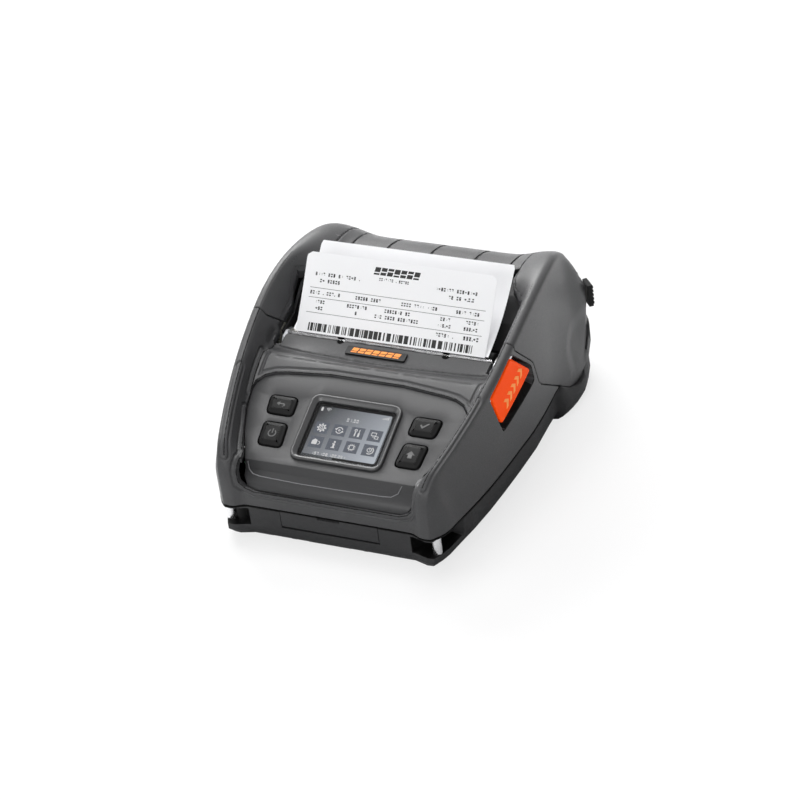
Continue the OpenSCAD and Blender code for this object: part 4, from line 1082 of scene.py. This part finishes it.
ICONS = [(gear_icon, arrows_icon, tools_icon, screens_icon), (battery_icon, note_icon, chip_icon, clock_icon)]
GLYPH_BAND, TILE_BAND = (0.03, 0.06), (0.0, 0.02)
glyphs = bmesh.new()
tiles = bmesh.new()
for row, icons in enumerate(ICONS):
    for col, draw in enumerate(icons):
        at = screen_mm(0.145 + col * 0.235, 0.56 - row * 0.285)
        draw(Pen(glyphs, at, *GLYPH_BAND))
        Pen(tiles, at, *TILE_BAND).bar(-3.6, -3.3, 3.6, 3.3)
pen = Pen(glyphs, screen_mm(0, 0), *GLYPH_BAND)
numerals(pen, "01.00", 17.5, 22.6, 1.9)
numerals(pen, "197.108.100.251", 6.0, 1.0, 1.75)
pen.bar(1.9, 26.6, 3.0, 28.6)
pen.bar(2.2, 28.6, 2.7, 28.9)
for k in range(3):
    pen.ring((6.0, 26.8), 0.35 + k * 0.7, 0.6 + k * 0.7, 45, 135, 8)
for k in range(4):
    pen.bar(35.6 + k * 0.9, 27.0, 36.1 + k * 0.9, 27.5 + k * 0.4)
from_bmesh("display_tiles", tiles, TILE, "casing", (), 30)
from_bmesh("display_glyphs", glyphs, GLYPH, "casing", (), 30)

# Paper: where each leaf leaves the mouth, its slope, half width, length, sag and corners
LEAF = dict(at=(1.6, 64.2), slope=math.atan2(32.4, 26.6), half=52.5, length=41.5, sag=0.7, corner=3.0)
BACK = dict(at=(2.4, 64.3), slope=math.atan2(26.2, 45.3), half=54.0, length=52.0, sag=3.2, corner=1.0)
LEAF_ROWS, LEAF_COLUMNS, LEAF_THICK = 26, 24, 0.12


def leaf_place(leaf):
    """Maps (u across, v along the leaf, height over its face) to space; the leaf bows back by its sag."""
    y, z = leaf["at"]
    c, s = math.cos(leaf["slope"]), math.sin(leaf["slope"])

    def place(u, v, h):
        t = clamp(v / leaf["length"], 0, 1)
        over = h - leaf["sag"] * math.sin(math.pi * t) * (1.15 - 0.3 * t)
        return Vector((u, y + v * c - over * s, z + v * s + over * c))

    return place


def leaf_half(leaf, v):
    """Half the leaf's width at v along it, with rounded corners at its end."""
    w, corner = leaf["half"], leaf["corner"]
    over = max(0.0, v - (leaf["length"] - corner))
    half = w - corner + math.sqrt(max(corner * corner - over * over, 0.0)) if over > 0 else w
    return max(half, w - corner + 0.3)


def leaf_piece(name, node, leaf, mat):
    place = leaf_place(leaf)
    n, m = LEAF_ROWS, LEAF_COLUMNS
    bm = bmesh.new()
    grid = []
    for j in range(n + 1):
        v = leaf["length"] * j / n
        grid.append([(leaf_half(leaf, v) * (2 * k / m - 1), v) for k in range(m + 1)])
    a, b = [[[bm.verts.new(place(u, v, h)) for u, v in r] for r in grid] for h in (0.0, LEAF_THICK)]
    for j in range(n):
        for k in range(m):
            bm.faces.new((a[j][k], a[j + 1][k], a[j + 1][k + 1], a[j][k + 1]))
            bm.faces.new((b[j][k], b[j][k + 1], b[j + 1][k + 1], b[j + 1][k]))
    for j in range(n):
        for k in (0, m):
            bm.faces.new((a[j][k], b[j][k], b[j + 1][k], a[j + 1][k]))
    for k in range(m):
        for j in (0, n):
            bm.faces.new((a[j][k], a[j][k + 1], b[j][k + 1], b[j][k]))
    return from_bmesh(name, bm, mat, "lid", (node,), 60)


leaf_piece("printed_label", "label_strip", LEAF, PAPER)
leaf_piece("backing_leaf", "liner_strip", BACK, LINER)

# Print on the label: bars from a fixed seed, rules, plain numerals and a row of blocks
INK_HIGH = 0.145
BARS_LOW, BARS_HIGH, BARS_FROM, BARS_TO = 1.1, 5.3, -46.0, 46.8
BAR_WIDTHS, BAR_GAPS = (0.45, 0.45, 0.8, 1.5, 2.3), (0.4, 0.45, 0.7, 1.1)
ink = bmesh.new()
pen = Pen(ink, leaf_place(LEAF), LEAF_THICK, INK_HIGH)
rng = random.Random(7)
u = BARS_FROM
while u < BARS_TO - 0.3:
    w = rng.choice(BAR_WIDTHS)
    if u + w > BARS_TO:
        break
    pen.bar(u, BARS_LOW, u + w, BARS_HIGH)
    u += w + rng.choice(BAR_GAPS)
for v in (10.4, 18.2, 23.2):
    pen.bar(-48.5, v, 48.8, v + 0.22)

TYPED = [("3117 208 51 7043 .", -46.5, 29.6), ("04 90505", -43.5, 26.3), ("1480177 609-8142", 20.5, 30.2),
         ("72 06 4.0.0", 28.0, 26.7), ("2010 . 007. 3", -48, 20.0), ("09068 0267", -22.5, 20.0),
         ("0000 7711 1108", 3.0, 20.0), ("5817 7106", 33.2, 20.0), ("1730", -44.5, 15.4),
         ("450", -43.7, 12.1), ("90078179", -26.5, 15.4), ("6", -21.5, 12.1), ("0350612 90", -5.5, 15.4),
         ("010 0603 60917600", -10.5, 12.1), ("0217", 25.3, 15.4), ("115.40", 24.0, 12.1),
         ("70731", 39.3, 15.4), ("932.40", 38.6, 12.1)]
TYPE_H, TYPE_WEIGHT = 1.8, 0.27
for text, u, v in TYPED:
    numerals(pen, text, u, v, TYPE_H, TYPE_WEIGHT)
numerals(pen, "70731 .", 24.2, 7.3, 1.9, 0.24)
numerals(pen, "932.40", 39.2, 7.3, 2.0, 0.26)


def heading(pen, u, v, w, h):
    """Seven slanted blocks with slits: a plain stand-in for a bold heading."""
    step = w / 7
    lean = h * 0.2
    for k in range(7):
        x, b = u + k * step, step * 0.84
        cut = (0.3, 0.45, 0.6)[k % 3]
        for v0, v1 in ((0, cut - 0.07), (cut + 0.07, 1)):
            pen.prism([(x + lean * v0, v + h * v0), (x + b + lean * v0, v + h * v0),
                       (x + b + lean * v1, v + h * v1), (x + lean * v1, v + h * v1)])


heading(pen, -14.5, 34.0, 25.5, 3.9)
numerals(pen, "0017170 . 90730", -11.0, 31.2, 1.45, TYPE_WEIGHT)
from_bmesh("label_print", ink, INK, "lid", (), 30)

# Badge
BADGE_SLOPE = math.radians(8)


def on_badge(u, v, h):
    c, s = math.cos(BADGE_SLOPE), math.sin(BADGE_SLOPE)
    return Vector((-4 + u, -6.2 + v * c - h * s, 63.25 - 0.5 * (1 - c) + v * s + h * c))


bm = bmesh.new()
heading(Pen(bm, on_badge, -0.05, 0.16), -13.5, -1.75, 27, 3.4)
from_bmesh("badge_blocks", bm, ORANGE_MARK, "casing", (), 30)

# Lever and the chevrons raised on it: the ends of their row in the pocket's frame
skin_piece("lever_moulding", "release_lever", ORANGE, "lever", radius=0.9)

POCKET_O = Vector((68, 0, 74))
POCKET_A = math.radians(9.8)
LEVER_LOW, LEVER_TOP = Vector((-20.9, 54.3)), Vector((0.6, 62.6))
CHEVRON = [(-1.9, -3.0), (0.1, -3.0), (2.3, 0), (0.1, 3.0), (-1.9, 3.0), (0.2, 0)]


def on_lever(y, w, h):
    """A place on the lever's face: y and w in the pocket's frame, h over the casing surface."""
    base = POCKET_O + Vector((math.cos(POCKET_A), 0, -math.sin(POCKET_A))) * 4 \
        + Vector((math.sin(POCKET_A), 0, math.cos(POCKET_A))) * (w - 74) + Vector((0, y, 0))
    q, n = FORM(base)[:2]
    return q + n * h


bm = bmesh.new()
along = (LEVER_TOP - LEVER_LOW).normalized()
across = Vector((-along.y, along.x))
pen = Pen(bm, on_lever, -0.15, 0.28)
for k in range(5):
    c = LEVER_LOW + along * (2.2 + k * 4.6)
    pen.prism([tuple(c + along * a + across * b) for a, b in CHEVRON])
from_bmesh("lever_chevrons", bm, ORANGE_MARK, "lever", (), 30)

# The tear bar's two notches in dark: a side view that stands in each, and half their width
NOTCHES, NOTCH_HALF = (-26.3, 31.9), 1.6
NOTCH_SIDE = [(-1.7, 58.5), (0.05, 58.5), (0.05, 63.5), (-1.7, 62.2)]
for k, x in enumerate(NOTCHES):
    bm = bmesh.new()
    Pen(bm, lambda u, v, h: Vector((h, u, v)), x - NOTCH_HALF, x + NOTCH_HALF).prism(NOTCH_SIDE)
    from_bmesh("notch_shadow_%d" % k, bm, BLACK, "casing", (), 30)


# Repeated details, by Geometry Nodes
def node_group(name, **inputs):
    """A tree with its inputs' kinds by name: the tree, what its inputs hand in and its output."""
    g = bpy.data.node_groups.new(name, "GeometryNodeTree")
    for label, kind in inputs.items():
        g.interface.new_socket(label, in_out="INPUT", socket_type="NodeSocket" + kind)
    g.interface.new_socket("Geometry", in_out="OUTPUT", socket_type="NodeSocketGeometry")
    return g, g.nodes.new("NodeGroupInput").outputs, g.nodes.new("NodeGroupOutput")


def handed_out(g, geometry, mat, out):
    """Makes the instances real, paints them and ends the tree."""
    real = add(g, "GeometryNodeRealizeInstances", {"Geometry": geometry})
    paint = add(g, "GeometryNodeSetMaterial", {"Geometry": real.outputs["Geometry"], "Material": mat})
    fill(g, out, {"Geometry": paint.outputs["Geometry"]})
    return g


def grown(name, group, values, angle, matrix=None):
    """Evaluates a tree with its named inputs and keeps the plain mesh as a steel piece on the casing."""
    o = bpy.data.objects.new(name, bpy.data.meshes.new(name))
    scene.collection.objects.link(o)
    m = o.modifiers.new("grow", "NODES")
    m.node_group = group
    ids = {i.name: i.identifier for i in group.interface.items_tree if i.in_out == "INPUT"}
    for k, v in values.items():
        m[ids[k]] = v
    bpy.context.view_layer.update()
    dg = bpy.context.evaluated_depsgraph_get()
    mesh = bpy.data.meshes.new_from_object(o.evaluated_get(dg), depsgraph=dg)
    o.modifiers.remove(m)
    bpy.data.objects.remove(o)
    if matrix is not None:
        mesh.transform(matrix)
    mesh.name = name
    return settle(name, mesh, None, "casing", (), angle)


def row_tree(name, mat):
    """Blocks of one size in a straight row, each tapered towards its tip."""
    g, given, out = node_group(name, Start="Vector", Step="Vector", Count="Int", Radius="Float", Tip="Float",
                               Height="Float", Stretch="Vector")
    line = add(g, "GeometryNodeMeshLine", {"Count": given["Count"], "Start Location": given["Start"],
                                           "Offset": given["Step"]})
    cone = add(g, "GeometryNodeMeshCone", {"Vertices": 4, "Radius Bottom": given["Radius"],
                                           "Radius Top": given["Tip"], "Depth": given["Height"]})
    square = add(g, "GeometryNodeTransform", {"Rotation": (0, 0, math.radians(45)),
                                              "Geometry": cone.outputs["Mesh"]})
    shape = add(g, "GeometryNodeTransform", {"Geometry": square.outputs["Geometry"],
                                             "Scale": given["Stretch"]})
    put = add(g, "GeometryNodeInstanceOnPoints", {"Points": line.outputs["Mesh"],
                                                  "Instance": shape.outputs["Geometry"]})
    return handed_out(g, put.outputs["Instances"], mat, out)


# The tear bar's teeth: the runs between its notches, the place of their row, their pitch and size
TEETH_RUNS = [(-56.0, -28.6), (-24.0, 29.6), (34.2, 56.0)]
TEETH_Y, TEETH_Z, TOOTH_PITCH = 0.65, 64.05, 0.9
TOOTH = {"Step": (TOOTH_PITCH * MM, 0, 0), "Radius": 0.55 * MM, "Tip": 0.06 * MM, "Height": 0.8 * MM,
         "Stretch": (1.0, 0.55, 1.0)}
teeth = row_tree("serration", STEEL)
for side, (x0, x1) in enumerate(TEETH_RUNS):
    run = {"Start": (x0 * MM, TEETH_Y * MM, TEETH_Z * MM), "Count": int((x1 - x0) / TOOTH_PITCH) + 1}
    grown("tear_teeth_%d" % side, teeth, TOOTH | run, 30)


def coil_tree(name, mat):
    g, given, out = node_group(name, Turns="Float", Radius="Float", Length="Float", Wire="Float")
    spiral = add(g, "GeometryNodeCurveSpiral", {"Resolution": 20, "Rotations": given["Turns"],
                                                "Start Radius": given["Radius"],
                                                "End Radius": given["Radius"], "Height": given["Length"]})
    wire = add(g, "GeometryNodeCurvePrimitiveCircle", {"Resolution": 8, "Radius": given["Wire"]})
    tube = add(g, "GeometryNodeCurveToMesh", {"Curve": spiral.outputs["Curve"], "Fill Caps": True,
                                              "Profile Curve": wire.outputs["Curve"]})
    return handed_out(g, tube.outputs["Mesh"], mat, out)


# Springs: their coils in metres, and how far the wire of the head's springs lifts them off their seats
HEAD_COIL = {"Turns": 6.0, "Radius": 0.0016, "Length": 0.0048, "Wire": 0.0004}
HINGE_COIL = {"Turns": 3.0, "Radius": 0.0024, "Length": 0.00345, "Wire": 0.00055}
HEAD_LIFT = 0.00042
coil = coil_tree("spring_coil", STEEL)


def standing(x, y, z, turn, axis):
    return Matrix.Translation(Vector((x, y, z)) * MM) @ Matrix.Rotation(math.radians(turn), 4, axis)


for side, x, hand in ((-1, -4.65, "left"), (1, 1.2, "right")):
    o = grown("head_spring_" + hand, coil, HEAD_COIL, 60,
              standing(side * 30, -9.9, 53.5, -90, "X") @ Matrix.Translation((0, 0, HEAD_LIFT)))
    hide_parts("head_springs")
    o = grown("hinge_spring_" + hand, coil, HINGE_COIL, 60, standing(x, REAR_Y - 1.5, 33.5, 90, "Y"))
    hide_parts("hinge_springs")

# Stage: the camera's turn, tilt and roll in degrees, how the origin lies from it, its focal length in pixels
CAMERA_R = (27.62847, 35.42903, 8.11831)
CAMERA_T = (1.197, 24.34452, 1506.07173)
FOCAL, FRAME_WIDTH, SENSOR = 2900, 800, 36
a, e, roll_angle = (math.radians(v) for v in CAMERA_R)
right = Vector((math.cos(a), math.sin(a), 0))
forward = Vector((-math.sin(a) * math.cos(e), math.cos(a) * math.cos(e), -math.sin(e)))
down = forward.cross(right)
right, down = (math.cos(roll_angle) * right + math.sin(roll_angle) * down,
               -math.sin(roll_angle) * right + math.cos(roll_angle) * down)
shift = Vector(CAMERA_T) * MM
place = -(right * shift.x + down * shift.y + forward * shift.z)
cam_data = bpy.data.cameras.new("camera")
cam_data.sensor_width = SENSOR
cam_data.lens = FOCAL * SENSOR / FRAME_WIDTH
cam_data.clip_start, cam_data.clip_end = 0.05, 50
camera = bpy.data.objects.new("camera", cam_data)
camera.matrix_world = Matrix.Translation(place) @ Matrix((right, -down, -forward)).transposed().to_4x4()
scene.collection.objects.link(camera)
scene.camera = camera

# World: white where the camera, a window or a reflection sees it, and a soft light for the rest
scene.view_settings.view_transform = "Standard"
world = bpy.data.worlds.new("studio")
scene.world = world
world.use_nodes = True
nt = world.node_tree
nt.nodes.clear()
path = nt.nodes.new("ShaderNodeLightPath").outputs
direct = add(nt, "ShaderNodeMath", {0: path["Is Camera Ray"], 1: path["Is Transmission Ray"]},
             operation="MAXIMUM")
seen = add(nt, "ShaderNodeMath", {0: direct.outputs[0], 1: path["Is Glossy Ray"]}, operation="MAXIMUM")
soft = add(nt, "ShaderNodeBackground", {"Color": (0.93, 0.96, 1.0, 1), "Strength": 0.17})
white = add(nt, "ShaderNodeBackground", {"Color": (1, 1, 1, 1), "Strength": 1.0})
mix = add(nt, "ShaderNodeMixShader", {0: seen.outputs[0], 1: soft.outputs[0], 2: white.outputs[0]})
add(nt, "ShaderNodeOutputWorld", {0: mix.outputs[0]})

# Floor: to the camera three quarters of it is plain white, so that only soft shadows show
FLOOR_HALF, FLOOR_GLOW = 6, 0.75
mesh = bpy.data.meshes.new("floor")
mesh.from_pydata([(x * FLOOR_HALF, y * FLOOR_HALF, 0) for x, y in ((-1, -1), (1, -1), (1, 1), (-1, 1))], [],
                 [(0, 1, 2, 3)])
floor = bpy.data.objects.new("floor", mesh)
scene.collection.objects.link(floor)
floor_mat, nt, s = tree_of("floor_paint")
fill(nt, s, {"Base Color": (0.93, 0.93, 0.93, 1), "Roughness": 0.9, "Specular IOR Level": 0.1})
glow = add(nt, "ShaderNodeEmission", {"Strength": 1.0})
path = nt.nodes.new("ShaderNodeLightPath").outputs
part = add(nt, "ShaderNodeMath", {0: path["Is Camera Ray"], 1: FLOOR_GLOW}, operation="MULTIPLY")
pale = add(nt, "ShaderNodeMixShader", {0: part.outputs[0], 1: s.outputs[0], 2: glow.outputs[0]})
fill(nt, [n for n in nt.nodes if n.type == "OUTPUT_MATERIAL"][0], {0: pale.outputs[0]})
mesh.materials.append(floor_mat)

# Softboxes: place, width and height in metres, and power in watts; each faces the object
AIM = Vector((0, 0, 0.04))
LAMPS = {
    "top_softbox": ((-0.25, 0.35, 1.5), (0.9, 0.7), 16), "rear_softbox": ((-0.8, 1.0, 0.87), (1.0, 0.6), 23),
    "left_softbox": ((-1.3, -0.3, 0.8), (0.9, 0.9), 5), "front_fill": ((-0.1, -1.4, 0.7), (1.0, 0.6), 8),
    "right_fill": ((1.3, -0.9, 0.7), (1.0, 0.8), 1.0),
}
for name, (where, size, power) in LAMPS.items():
    lamp = bpy.data.lights.new(name, "AREA")
    lamp.shape = "RECTANGLE"
    lamp.size, lamp.size_y = size
    lamp.energy = power
    o = bpy.data.objects.new(name, lamp)
    o.location = where
    o.rotation_mode = "QUATERNION"
    o.rotation_quaternion = (AIM - Vector(where)).to_track_quat("-Z", "Y")
    scene.collection.objects.link(o)
